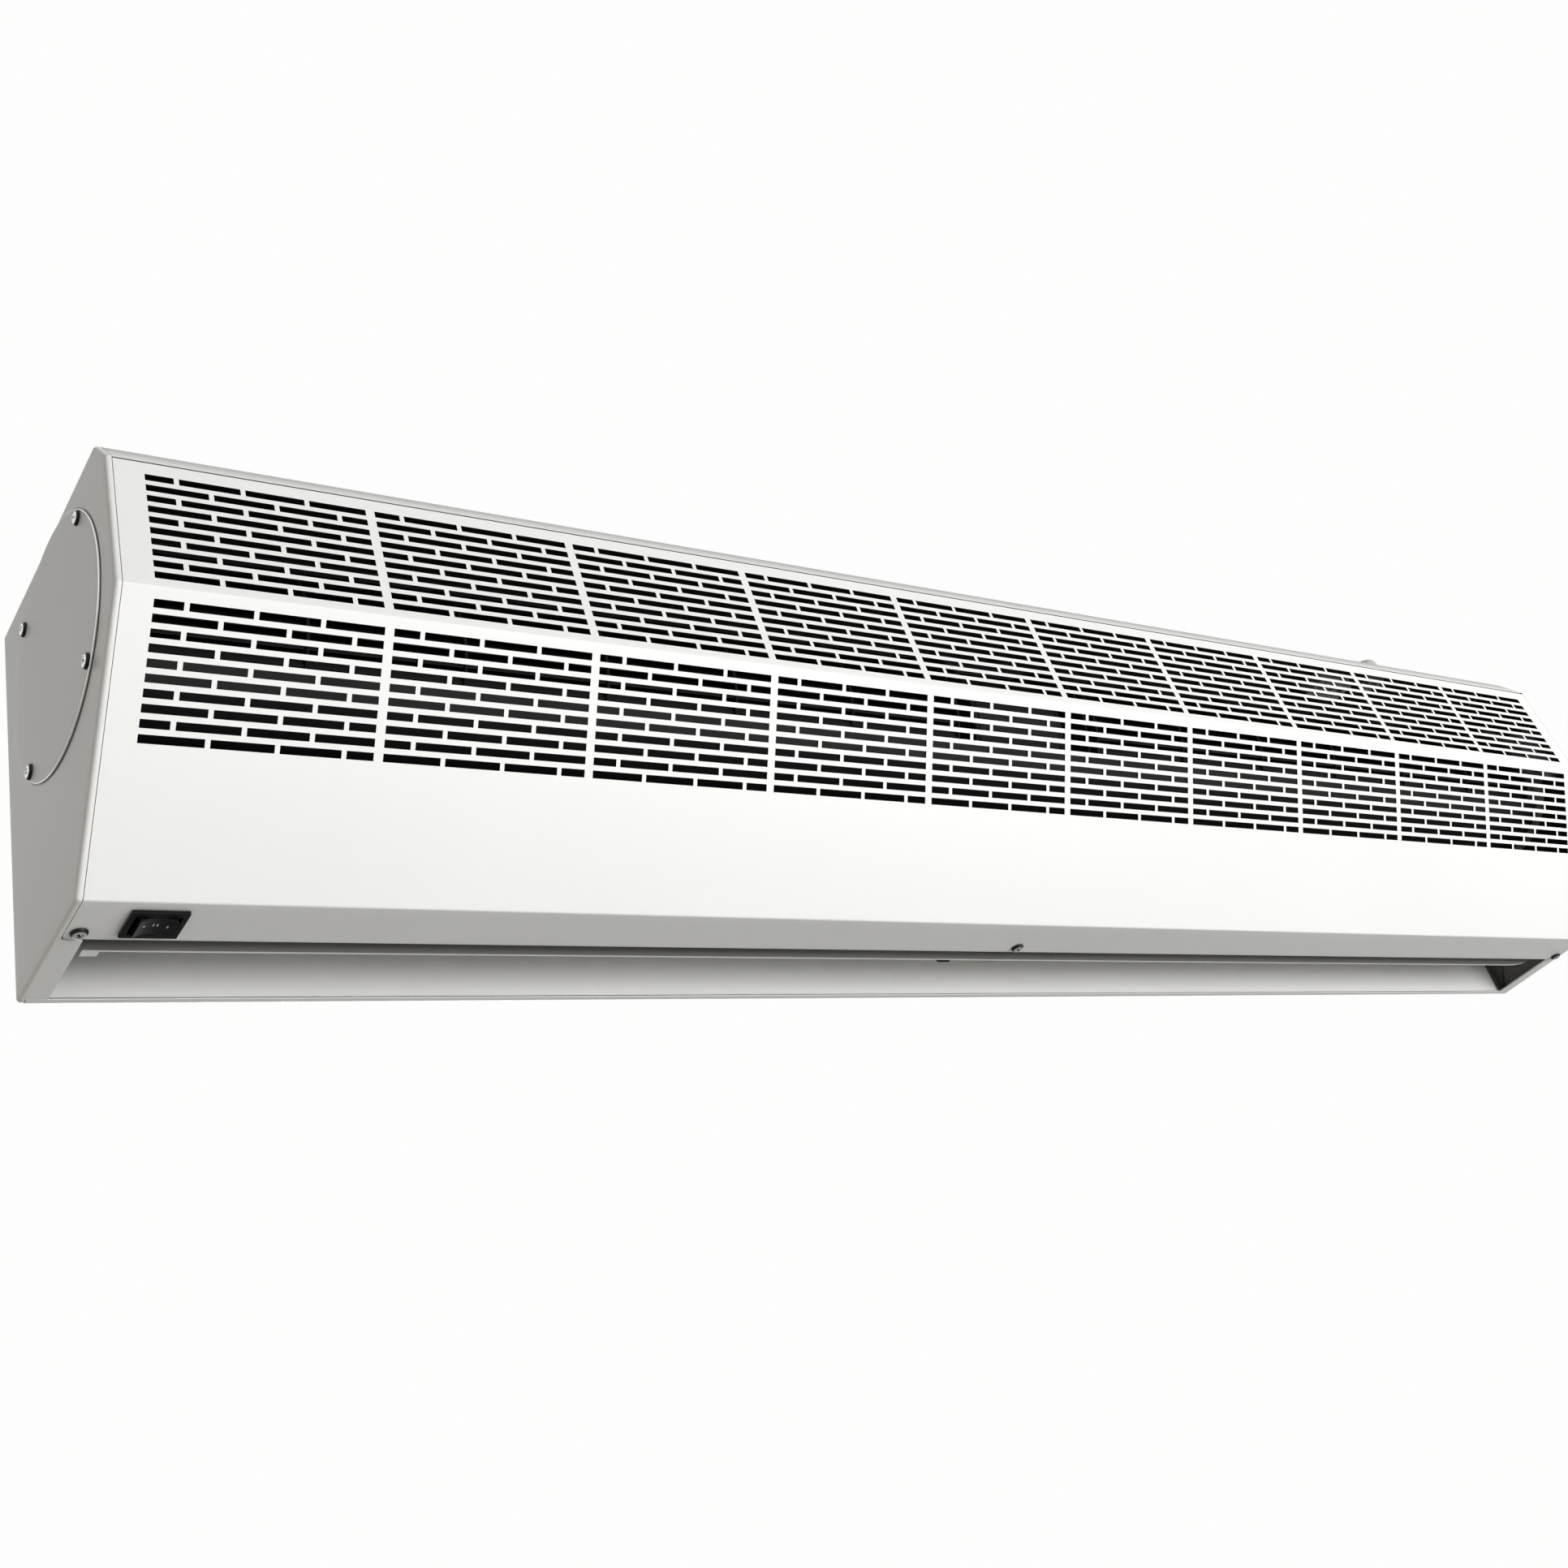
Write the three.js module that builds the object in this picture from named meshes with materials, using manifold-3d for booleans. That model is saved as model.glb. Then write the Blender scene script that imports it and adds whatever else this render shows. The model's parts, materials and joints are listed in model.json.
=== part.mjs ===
// Wall-hung air curtain: a cross-flow blower behind a slotted front cover.
// Millimetres. X runs along the length, Y into the wall, Z up.
// The group's origin is the middle of the back sheet's wall face.
import * as THREE from 'three';
import { mergeGeometries, mergeVertices } from 'three/addons/utils/BufferGeometryUtils.js';
import Module from 'manifold-3d';

const wasm = await Module();
wasm.setup();

// Casing outline, seen from its left end: y is minus the depth from the wall, z the height.
const CASE_LENGTH = 1200;
const CASE_HEIGHT = 213;
const CASE_DEPTH = 165;
const TOP_DEPTH = 151;
const CORNER_DROP = 19;
const COVER_TOP = CASE_HEIGHT - CORNER_DROP;
const UPPER_PANEL_HEIGHT = 78;
const CREASE_HEIGHT = COVER_TOP - UPPER_PANEL_HEIGHT;
const BOTTOM_CREASE_DEPTH = 88.5;
const LIP_DEPTH = 56;
const REAR_LIP_DEPTH = 11;
const SHEET = 1;
const END_SHEET = 1.5;
const END_FOLD = 3.1;
const END_BEVEL = 1;
const BEND_RADIUS = 1.5;
const BEND_STEPS = 2;
const GAP = 0.3;
const FLANGE_WIDTH = 11.5;
const HEM_HEIGHT = 5;
const DUCT_CLEARANCE = 0.5;
const TONGUE_CLEARANCE = 0.4;
const CUT_DEPTH = 10;

// Intake grille: staggered slots in cells, the same on both panels of the cover.
const GRILLE_CELLS = 10;
const GRILLE_ROWS = 10;
const GRILLE_MARGIN = 17.95;
const CELL_GAP = 4.9;
const CELL_PITCH = (CASE_LENGTH - 2 * GRILLE_MARGIN + CELL_GAP) / GRILLE_CELLS;
const CELL_WIDTH = CELL_PITCH - CELL_GAP;
const SLOT_HEIGHT = 4;
const ROW_PITCH = 6.75;
const UPPER_ROW_OFFSET = 10.5;
const LOWER_ROW_OFFSET = 7.8;

// Cross-flow wheels and the duct round them.
const AXIS_DEPTH = 82.5;
const AXIS_BELOW_TOP = 69;
const AXIS_HEIGHT = CASE_HEIGHT - AXIS_BELOW_TOP;
const WHEEL_RADIUS = 50;
const WHEEL_BORE_RADIUS = 37;
const WHEEL_RIM = 1;
const BLADE_COUNT = 20;
const BLADE_THICKNESS = 1.2;
const BLADE_SWEEP = 0.3;
const BLADE_STEPS = 2;
const DISC_THICKNESS = 2;
const RING_OVERLAP = 3;
const WHEEL_INNER_X = 62;
const WHEEL_END_GAP = 16.5;
const SCROLL_START_ANGLE = 100;
const SCROLL_END_ANGLE = -30;
const SCROLL_GAP = 3;
const SCROLL_GROWTH = 31;
const TONGUE_GAP = 5;
const TONGUE_START_ANGLE = -88;
const TONGUE_END_ANGLE = -140;
const TONGUE_WALL_HEIGHT = 50;
const TONGUE_FOOT = 22.6;
const TONGUE_NOTCH_MARGIN = 4;
const ARC_STEP_ANGLE = 13;
const HUB_RADIUS = 14;
const HUB_LENGTH = 21.7;
const SHAFT_RADIUS = 4;
const STUB_INSIDE = 6;

// Motor in the middle, hung in rubber rings on two duct plates.
const MOTOR_RADIUS = 42;
const MOTOR_HALF = 36;
const BELL_LENGTH = 10;
const BELL_END_RADIUS = 33.6;
const BOSS_RADIUS = 16;
const BOSS_LENGTH = 10;
const RUBBER_RADIUS = 26;
const RUBBER_LENGTH = 8;
const BRACKET_SHEET = 2;
const BRACKET_X = 50;
const BRACKET_FRONT_ANGLE = 205;
const BRACKET_MARGIN_ANGLE = 10;
const WIRE_HOLE_RADIUS = 11;
const WIRE_HOLE_X = -28;
const WIRE_HOLE_HEIGHT = 33;

// End bearings.
const ACCESS_OPENING_RADIUS = 56;
const ACCESS_COVER_RADIUS = 67.2;
const ACCESS_SCREW_RADIUS = 61.5;
const ACCESS_SCREW_ANGLES = [45, 135, 225, 315];
const BRIDGE_HALF_SPAN = 58;
const BRIDGE_TOE = 10;
const BRIDGE_HALF_WIDTH = 24;
const BRIDGE_STANDOFF = 8;
const HOLDER_RADIUS = 20;
const HOLDER_LENGTH = 8;
const BEARING_RADIUS = 11;
const BEARING_LENGTH = 6;

// Outlet vane.
const VANE_AXIS_DEPTH = 46;
const VANE_AXIS_HEIGHT = 29;
const VANE_TOP = 36;
const VANE_BOTTOM = 0.8;
const VANE_SHEET = 1.5;
const VANE_PIN_RADIUS = 2;
const VANE_PIN_ROOT = 6;
const VANE_END_GAP = 2;
const VANE_TAB_WIDTH = 8;
const VANE_TAB_DEPTH = 4;
const VANE_CORNER = 14;
const PIVOT_BLOCK = 12;

// Rocker switch in the cover's bottom flange.
const SWITCH_INSET = 39;
const SWITCH_X = SWITCH_INSET - CASE_LENGTH / 2;
const SWITCH_DEPTH = 72.5;
const BEZEL_WIDTH = 26;
const BEZEL_DEPTH = 21;
const BEZEL_RIM = 1.4;
const BEZEL_THICKNESS = 2;
const SWITCH_BODY_HEIGHT = 16;
const WELL_WIDTH = 20.4;
const WELL_DEPTH = 14;
const WELL_HEIGHT = 9;
const ROCKER_HALF = 8.6;
const ROCKER_PROUD = 2.4;
const ROCKER_PIVOT = 2;
const ROCKER_CREST = 2.5;

// Fasteners and small electrical pieces.
const SCREW_HEAD_RADIUS = 4;
const SCREW_HEAD_HEIGHT = 2.2;
const SCREW_DOME = [[0, 1], [0.6, 0.92], [0.93, 0.5], [1, 0]];
const SCREW_RADIUS = 1.9;
const SCREW_LENGTH = 7;
const SCREW_CLEARANCE = 0.3;
const COVER_SCREW_DEPTH = 63;
const COVER_SCREW_INSET = 9.3;
const MID_SCREW_X = -22;
const CAPACITOR_RADIUS = 12.5;
const CAPACITOR_LENGTH = 50;
const CAPACITOR_INSET = 95;
const CAPACITOR_X = CAPACITOR_INSET - CASE_LENGTH / 2;
const CAPACITOR_HEIGHT = 22;
const CLIP_WIDTH = 10;
const CLIP_PAD = 2;
const GLAND_INSET = 170;
const GLAND_X = CASE_LENGTH / 2 - GLAND_INSET;
const GLAND_EDGE = 17;
const GLAND_DEPTH = TOP_DEPTH - GLAND_EDGE;
const TERMINAL_LENGTH = 40;
const TERMINAL_WIDTH = 18;
const TERMINAL_HEIGHT = 10;
const TERMINAL_OFFSET = 50;
const TERMINAL_X = GLAND_X - TERMINAL_OFFSET;
const TERMINAL_PITCH = 12;
const TERMINAL_WELL = 3;
const GLAND_RADIUS = 12;
const GLAND_HEIGHT = 12;
const GLAND_SHOULDER = 7.2;
const GLAND_CAP_RADIUS = 8.6;
const GLAND_TAIL = 2;
const GLAND_THREAD_RADIUS = 8;
const GLAND_BORE_RADIUS = 4;
const NUT_THICKNESS = 4;

// Wall keyholes.
const KEYHOLE_INSET = 150;
const KEYHOLE_X = CASE_LENGTH / 2 - KEYHOLE_INSET;
const KEYHOLE_BOTTOM_EDGE = 40;
const KEYHOLE_TOP_EDGE = 50;
const KEYHOLE_HEIGHTS = [KEYHOLE_BOTTOM_EDGE, CASE_HEIGHT - KEYHOLE_TOP_EDGE];
const KEYHOLE_HEAD_RADIUS = 5;
const KEYHOLE_SLOT_RADIUS = 2.75;
const KEYHOLE_RISE = 9;
const HOOK_SLOT_HALF = 10;
const HOOK_SLOT_HEIGHT = 2.5;

const HALF_LENGTH = CASE_LENGTH / 2;
const SHEET_END = HALF_LENGTH - END_FOLD - GAP;
const DUCT_END = HALF_LENGTH - END_SHEET - FLANGE_WIDTH - DUCT_CLEARANCE;
const WHEEL_OUTER_X = HALF_LENGTH - END_SHEET - WHEEL_END_GAP;
const BRIDGE_X = HALF_LENGTH - END_SHEET - BRIDGE_STANDOFF;
const AXIS = new THREE.Vector2(-AXIS_DEPTH, AXIS_HEIGHT);
const TONGUE_FACE = -LIP_DEPTH - SHEET - TONGUE_CLEARANCE;

// ---------------------------------------------------------------- geometry helpers

const at = (y, z) => new THREE.Vector2(y, z);
const radians = (degrees) => THREE.MathUtils.degToRad(degrees);
const polar = (radius, degrees, centre = AXIS) => at(
  centre.x + radius * Math.cos(radians(degrees)),
  centre.y + radius * Math.sin(radians(degrees)));

/** Points of an arc from one angle to another, in steps of at most `step` degrees. */
function arc(radiusAt, from, to, step, centre = AXIS) {
  const steps = Math.ceil(Math.abs(to - from) / step);
  return Array.from({ length: steps + 1 }, (_, i) => {
    const angle = from + (to - from) * i / steps;
    return polar(radiusAt(angle), angle, centre);
  });
}

/** Circle outline as points. */
function circle(radius, centre, segments) {
  return Array.from({ length: segments }, (_, i) => polar(radius, 360 * i / segments, centre));
}

/** Left-hand offset of a path with mitred corners; a closed path joins its ends. */
function offset(points, distance, closed = false) {
  const normals = points.map((p, i) => {
    const next = points[(i + 1) % points.length];
    return at(-(next.y - p.y), next.x - p.x).normalize();
  });
  const last = points.length - 1;
  return points.map((p, i) => {
    const before = normals[closed ? (i + last) % points.length : Math.max(i - 1, 0)];
    const after = normals[closed ? i : Math.min(i, last - 1)];
    const mitre = before.clone().add(after).divideScalar(1 + before.dot(after));
    return p.clone().addScaledVector(mitre, distance);
  });
}

/** Path with each corner replaced by an arc of the bend radius; a closed path has no ends. */
function bent(points, radius, closed = false) {
  const last = points.length - 1;
  return points.flatMap((p, i) => {
    if (!closed && (i === 0 || i === last)) return [p];
    const back = points[(i + last) % points.length].clone().sub(p).normalize();
    const ahead = points[(i + 1) % points.length].clone().sub(p).normalize();
    const half = Math.acos(THREE.MathUtils.clamp(back.dot(ahead), -1, 1)) / 2;
    const centre = back.clone().add(ahead).normalize().multiplyScalar(radius / Math.sin(half))
      .add(p);
    const start = p.clone().addScaledVector(back, radius / Math.tan(half)).sub(centre);
    const turn = Math.sign(back.cross(ahead)) * (2 * half - Math.PI);
    return Array.from({ length: BEND_STEPS + 1 }, (_, step) => start.clone()
      .rotateAround(at(0, 0), turn * step / BEND_STEPS).add(centre));
  });
}

const AXES_TO_X = new THREE.Matrix4().makeBasis(
  new THREE.Vector3(0, 1, 0), new THREE.Vector3(0, 0, 1), new THREE.Vector3(1, 0, 0));

/** Right prism along X whose outline, and any holes, are given in the YZ plane. */
function prismX(outline, x0, x1, holes = []) {
  const shape = new THREE.Shape(outline);
  shape.holes = holes.map((hole) => new THREE.Path(hole));
  const geometry = new THREE.ExtrudeGeometry(shape, { depth: x1 - x0, bevelEnabled: false });
  return geometry.applyMatrix4(AXES_TO_X).translate(x0, 0, 0);
}

/** Plate along X whose outline is rounded off where it faces the lower X. */
function roundedPlateX(outline, x0, x1, bevel) {
  const shape = new THREE.Shape(outline);
  const rounded = new THREE.ExtrudeGeometry(shape, {
    depth: x1 - x0,
    bevelThickness: bevel,
    bevelSize: bevel,
    bevelOffset: -bevel,
    bevelSegments: 2,
  }).applyMatrix4(AXES_TO_X).translate(x0 + bevel, 0, 0);
  return cut(rounded, prismX(offset(outline, -bevel, true), x1, x1 + 3 * bevel));
}

/** Bent sheet: a path of its outer face, thickened to the left and run along X. */
function sheetX(path, thickness, x0, x1) {
  return prismX([...path, ...offset(path, thickness).reverse()], x0, x1);
}

/** Ring or disc round an axis along X. */
function ringX(outer, inner, x0, x1, segments, centre = AXIS) {
  const holes = inner > 0 ? [circle(inner, centre, segments)] : [];
  return prismX(circle(outer, centre, segments), x0, x1, holes);
}

function box(x0, x1, y0, y1, z0, z1) {
  return new THREE.BoxGeometry(x1 - x0, y1 - y0, z1 - z0)
    .translate((x0 + x1) / 2, (y0 + y1) / 2, (z0 + z1) / 2);
}

/** Turned piece on the Z axis from a closed profile of radius and height. */
function turned(profile, segments) {
  return new THREE.LatheGeometry(profile.map(([r, z]) => at(r, z)), segments)
    .rotateX(Math.PI / 2);
}

/** three.js geometry to a solid that can be cut and joined. */
function solid(geometry) {
  const bare = geometry.clone();
  bare.deleteAttribute('normal');
  bare.deleteAttribute('uv');
  const merged = mergeVertices(bare, 1e-4);
  return new wasm.Manifold(new wasm.Mesh({
    numProp: 3,
    vertProperties: new Float32Array(merged.attributes.position.array),
    triVerts: new Uint32Array(merged.index.array),
  }));
}

/** Solid back to a flat-shaded geometry. */
function geometryOf(body) {
  const mesh = body.getMesh();
  const geometry = new THREE.BufferGeometry();
  geometry.setAttribute('position', new THREE.BufferAttribute(mesh.vertProperties, 3));
  geometry.setIndex(new THREE.BufferAttribute(mesh.triVerts, 1));
  geometry.computeVertexNormals();
  return geometry;
}

const join = (first, ...others) => geometryOf(
  others.reduce((sum, other) => sum.add(solid(other)), solid(first)));

const cut = (first, ...others) => geometryOf(
  others.reduce((rest, other) => rest.subtract(solid(other)), solid(first)));

// ---------------------------------------------------------------- finishes

const finish = (color, roughness, metalness) => (
  new THREE.MeshStandardMaterial({ color, roughness, metalness }));

const WHITE_PAINT = finish(0xf1f0ec, 0.5, 0);
const SHADE_PAINT = finish(0xcfcdc6, 0.55, 0);
const ZINC = finish(0xb4b7b8, 0.42, 0.9);
const SCREW_STEEL = finish(0x8f9193, 0.3, 1);
const ALUMINIUM = finish(0xc3c5c6, 0.4, 0.9);
const BLACK_PLASTIC = finish(0x131314, 0.45, 0);
const RUBBER = finish(0x1d1d1e, 0.85, 0);
const MOTOR_PAINT = finish(0x2c2d2f, 0.5, 0.4);
const GREY_PLASTIC = finish(0xb9bbb8, 0.55, 0);

const airCurtain = new THREE.Group();
airCurtain.position.z = -CASE_HEIGHT / 2;

function place(name, geometry, material) {
  const mesh = new THREE.Mesh(geometry, material);
  mesh.name = name;
  airCurtain.add(mesh);
  return mesh;
}

/** Builds a piece for the left end and its mirror image for the right end. */
function bothEnds(name, build, material) {
  const left = build();
  const right = geometryOf(solid(left).mirror([1, 0, 0]));
  place(`${name}_left`, left, material);
  place(`${name}_right`, right, material);
}

// ---------------------------------------------------------------- casing

const OUTLINE = {
  rearBottom: at(0, 0),
  rearTop: at(0, CASE_HEIGHT),
  topFront: at(-TOP_DEPTH, CASE_HEIGHT),
  coverTop: at(-CASE_DEPTH, COVER_TOP),
  crease: at(-CASE_DEPTH, CREASE_HEIGHT),
  bottomCrease: at(-BOTTOM_CREASE_DEPTH, 0),
};

/** Keyhole cutter through the back sheet: round head hole with a narrow slot above it. */
function keyhole(x, z) {
  const depth = 4 * SHEET;
  const head = new THREE.CylinderGeometry(KEYHOLE_HEAD_RADIUS, KEYHOLE_HEAD_RADIUS, depth, 12)
    .translate(x, 0, z);
  const neck = new THREE.CylinderGeometry(KEYHOLE_SLOT_RADIUS, KEYHOLE_SLOT_RADIUS, depth, 8)
    .translate(x, 0, z + KEYHOLE_RISE);
  const slot = box(x - KEYHOLE_SLOT_RADIUS, x + KEYHOLE_SLOT_RADIUS, -depth / 2, depth / 2,
    z, z + KEYHOLE_RISE);
  return [head, neck, slot];
}

/** Back, top and top front corner in one bent sheet, with a lip under the scroll. */
function backCasing() {
  const cornerSlope = OUTLINE.topFront.clone().sub(OUTLINE.coverTop).normalize();
  const aboveCover = OUTLINE.coverTop.clone().addScaledVector(cornerSlope, SHEET + GAP);
  const path = [at(-REAR_LIP_DEPTH, 0), OUTLINE.rearBottom, OUTLINE.rearTop, OUTLINE.topFront,
    aboveCover];
  const keyholes = [-KEYHOLE_X, KEYHOLE_X].flatMap(
    (x) => KEYHOLE_HEIGHTS.flatMap((z) => keyhole(x, z)));
  const glandHole = new THREE.CylinderGeometry(
    GLAND_THREAD_RADIUS + GAP, GLAND_THREAD_RADIUS + GAP, 4 * SHEET, 16)
    .rotateX(Math.PI / 2).translate(GLAND_X, -GLAND_DEPTH, CASE_HEIGHT);
  const corner = OUTLINE.topFront.clone().lerp(OUTLINE.coverTop, 0.5);
  const slope = Math.atan2(CASE_HEIGHT - COVER_TOP, CASE_DEPTH - TOP_DEPTH);
  const hookSlot = new THREE.BoxGeometry(2 * HOOK_SLOT_HALF, HOOK_SLOT_HEIGHT, 6 * SHEET)
    .rotateX(slope).translate(0, corner.x, corner.y);
  return cut(sheetX(bent(path, BEND_RADIUS), SHEET, -SHEET_END, SHEET_END), ...keyholes,
    glandHole, hookSlot);
}

/** Left end plate: a pan with a rounded edge and flanges that go under the other sheets. */
function endPlate() {
  const outline = Object.values(OUTLINE);
  const outside = -HALF_LENGTH;
  const inside = outside + END_SHEET;
  const under = SHEET + GAP;
  const hollow = offset(outline, under + SHEET, true);
  const opening = ringX(ACCESS_OPENING_RADIUS, 0, outside - SHEET, inside + SHEET, 32);
  const pan = cut(roundedPlateX(bent(outline, BEND_RADIUS, true), outside, outside + END_FOLD,
    END_BEVEL), prismX(hollow, inside, inside + FLANGE_WIDTH), opening);
  const rim = prismX(offset(outline, under, true), inside + SHEET / 2,
    inside + FLANGE_WIDTH, [hollow.slice().reverse()]);
  const outletStrip = box(inside + SHEET / 2, inside + FLANGE_WIDTH,
    -LIP_DEPTH + GAP, -REAR_LIP_DEPTH - GAP, 0, under + SHEET / 2);
  const screwHoles = ACCESS_SCREW_ANGLES.map((angle) => ringX(
    SCREW_RADIUS + SCREW_CLEARANCE, 0, outside - SHEET, inside + SHEET, 8,
    polar(ACCESS_SCREW_RADIUS, angle)));
  const coverHole = screwHoleZ(outside + COVER_SCREW_INSET, -COVER_SCREW_DEPTH);
  return cut(join(pan, rim, outletStrip), ...screwHoles, coverHole);
}

/** Round plate with a rounded edge over the bearing opening, outside the end plate. */
function accessCover() {
  const outside = -HALF_LENGTH - GAP - END_SHEET;
  const holes = ACCESS_SCREW_ANGLES.map((angle) => ringX(
    SCREW_RADIUS + SCREW_CLEARANCE, 0, outside - SHEET, outside + 3 * SHEET, 8,
    polar(ACCESS_SCREW_RADIUS, angle)));
  return cut(roundedPlateX(circle(ACCESS_COVER_RADIUS, AXIS, 32), outside,
    outside + END_SHEET, END_BEVEL), ...holes);
}

function screwHoleZ(x, y) {
  const radius = SCREW_RADIUS + SCREW_CLEARANCE;
  return new THREE.CylinderGeometry(radius, radius, CUT_DEPTH, 8)
    .rotateX(Math.PI / 2).translate(x, y, 0);
}

/** Slot cutters of one panel, from the panel's top edge down its slope. */
function slotCutters(top, bottom, firstRow) {
  const down = bottom.clone().sub(top).normalize();
  const tilt = Math.atan2(down.y, down.x);
  const start = GRILLE_MARGIN - HALF_LENGTH;
  const cutters = [];
  for (let row = 0; row < GRILLE_ROWS; row += 1) {
    const centre = top.clone().addScaledVector(down, firstRow + row * ROW_PITCH);
    for (let cell = 0; cell < GRILLE_CELLS; cell += 1) {
      cutters.push(new THREE.BoxGeometry(CELL_WIDTH, SLOT_HEIGHT, 8 * SHEET)
        .rotateX(tilt).translate(start + cell * CELL_PITCH + CELL_WIDTH / 2, centre.x, centre.y));
    }
  }
  return mergeGeometries(cutters);
}

/** Slotted front cover: upper panel, sloping lower panel, bottom flange and hem. */
function frontCover() {
  const lip = at(-LIP_DEPTH, 0);
  const path = [OUTLINE.coverTop, OUTLINE.crease, OUTLINE.bottomCrease, lip,
    at(-LIP_DEPTH, HEM_HEIGHT)];
  const sheet = sheetX(bent(path, BEND_RADIUS), SHEET, -SHEET_END, SHEET_END);
  const switchHole = box(SWITCH_X - BEZEL_WIDTH / 2 + BEZEL_RIM - GAP,
    SWITCH_X + BEZEL_WIDTH / 2 - BEZEL_RIM + GAP,
    -SWITCH_DEPTH - BEZEL_DEPTH / 2 + BEZEL_RIM - GAP,
    -SWITCH_DEPTH + BEZEL_DEPTH / 2 - BEZEL_RIM + GAP, -4 * SHEET, 4 * SHEET);
  const hemEnds = [[-HALF_LENGTH, -DUCT_END], [DUCT_END, HALF_LENGTH]].map(([x0, x1]) => box(
    x0, x1, -LIP_DEPTH - SHEET - GAP, -LIP_DEPTH + GAP, SHEET, HEM_HEIGHT + GAP));
  return cut(sheet, ...hemEnds,
    slotCutters(OUTLINE.coverTop, OUTLINE.crease, UPPER_ROW_OFFSET),
    slotCutters(OUTLINE.crease, OUTLINE.bottomCrease, LOWER_ROW_OFFSET),
    switchHole, ...coverScrewXs().map((x) => screwHoleZ(x, -COVER_SCREW_DEPTH)));
}

function coverScrewXs() {
  const end = HALF_LENGTH - COVER_SCREW_INSET;
  return [-end, MID_SCREW_X, end];
}

// ---------------------------------------------------------------- duct

const scrollRadius = (angle) => WHEEL_RADIUS + SCROLL_GAP
  + SCROLL_GROWTH * (SCROLL_START_ANGLE - angle) / (SCROLL_START_ANGLE - SCROLL_END_ANGLE);

/** Rear wall of the duct: up from the outlet, round the wheels, and a flange to the top. */
function scrollSheet() {
  const curve = arc(scrollRadius, SCROLL_END_ANGLE, SCROLL_START_ANGLE, ARC_STEP_ANGLE);
  const foot = at(curve[0].x, SHEET + GAP);
  const head = at(curve[curve.length - 1].x, CASE_HEIGHT - SHEET - GAP);
  const sheet = sheetX([foot, ...curve, head], -SHEET, -DUCT_END, DUCT_END);
  const wireHole = ringX(WIRE_HOLE_RADIUS, 0, -2 * CUT_DEPTH, 2 * CUT_DEPTH, 6, at(0, 0))
    .rotateZ(Math.PI / 2)
    .translate(WIRE_HOLE_X, foot.x, WIRE_HOLE_HEIGHT);
  return cut(sheet, wireHole);
}

/** Front wall of the duct: foot on the cover's flange, wall, tip and the arc by the wheels. */
function tonguePlate() {
  const floor = SHEET + GAP;
  const curve = arc(() => WHEEL_RADIUS + TONGUE_GAP, TONGUE_START_ANGLE, TONGUE_END_ANGLE,
    ARC_STEP_ANGLE);
  const path = [at(TONGUE_FACE - TONGUE_FOOT, floor), at(TONGUE_FACE, floor),
    at(TONGUE_FACE, TONGUE_WALL_HEIGHT), ...curve];
  const sheet = sheetX(path, SHEET, -DUCT_END, DUCT_END);
  const notchHalf = BEZEL_WIDTH / 2 + TONGUE_NOTCH_MARGIN;
  const switchNotch = box(SWITCH_X - notchHalf, SWITCH_X + notchHalf,
    TONGUE_FACE - TONGUE_FOOT - SHEET, TONGUE_FACE - SHEET - DUCT_CLEARANCE,
    floor - SHEET, floor + 2 * SHEET);
  return cut(sheet, switchNotch, screwHoleZ(MID_SCREW_X, -COVER_SCREW_DEPTH));
}

/** Duct plate beside the motor, with the round seat for a rubber ring. */
function motorBracket() {
  const rear = arc((angle) => scrollRadius(angle) - GAP, SCROLL_END_ANGLE, SCROLL_START_ANGLE,
    ARC_STEP_ANGLE);
  const front = arc(() => WHEEL_RADIUS + TONGUE_GAP - GAP,
    TONGUE_END_ANGLE - BRACKET_MARGIN_ANGLE, TONGUE_START_ANGLE, ARC_STEP_ANGLE);
  const ahead = arc(() => WHEEL_RADIUS + SCROLL_GAP - GAP, SCROLL_START_ANGLE + ARC_STEP_ANGLE,
    BRACKET_FRONT_ANGLE, ARC_STEP_ANGLE);
  const seat = circle(RUBBER_RADIUS + GAP, AXIS, 16);
  return prismX([...rear, ...ahead, ...front], -BRACKET_X - BRACKET_SHEET, -BRACKET_X, [seat]);
}

// ---------------------------------------------------------------- wheels, shafts, bearings

/** One blade section: a thin curved strip from the bore circle to the rim. */
function bladeOutline(angle) {
  const side = (shift) => Array.from({ length: BLADE_STEPS + 1 }, (_, i) => {
    const t = i / BLADE_STEPS;
    const radius = WHEEL_BORE_RADIUS + (WHEEL_RADIUS - WHEEL_BORE_RADIUS) * t;
    const turn = angle + BLADE_SWEEP * (1 - Math.cos(Math.PI * t / 2)) + shift / radius;
    return at(AXIS.x + radius * Math.cos(turn), AXIS.y + radius * Math.sin(turn));
  });
  return [...side(-BLADE_THICKNESS / 2), ...side(BLADE_THICKNESS / 2).reverse()];
}

/** Left cross-flow wheel: curved blades through two end discs and a middle ring. */
function impeller() {
  const outer = -WHEEL_OUTER_X;
  const inner = -WHEEL_INNER_X;
  const rim = WHEEL_RADIUS + WHEEL_RIM;
  const bite = DISC_THICKNESS / 4;
  const blades = Array.from({ length: BLADE_COUNT }, (_, i) => prismX(
    bladeOutline(2 * Math.PI * i / BLADE_COUNT), outer + bite, inner - bite));
  const bore = SHAFT_RADIUS + GAP;
  const middle = (outer + inner) / 2;
  return join(mergeGeometries(blades),
    ringX(rim, bore, outer, outer + DISC_THICKNESS, BLADE_COUNT * 2),
    ringX(rim, WHEEL_BORE_RADIUS - RING_OVERLAP, middle - DISC_THICKNESS / 2,
      middle + DISC_THICKNESS / 2, BLADE_COUNT * 2),
    ringX(rim, bore, inner - DISC_THICKNESS, inner, BLADE_COUNT * 2));
}

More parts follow.
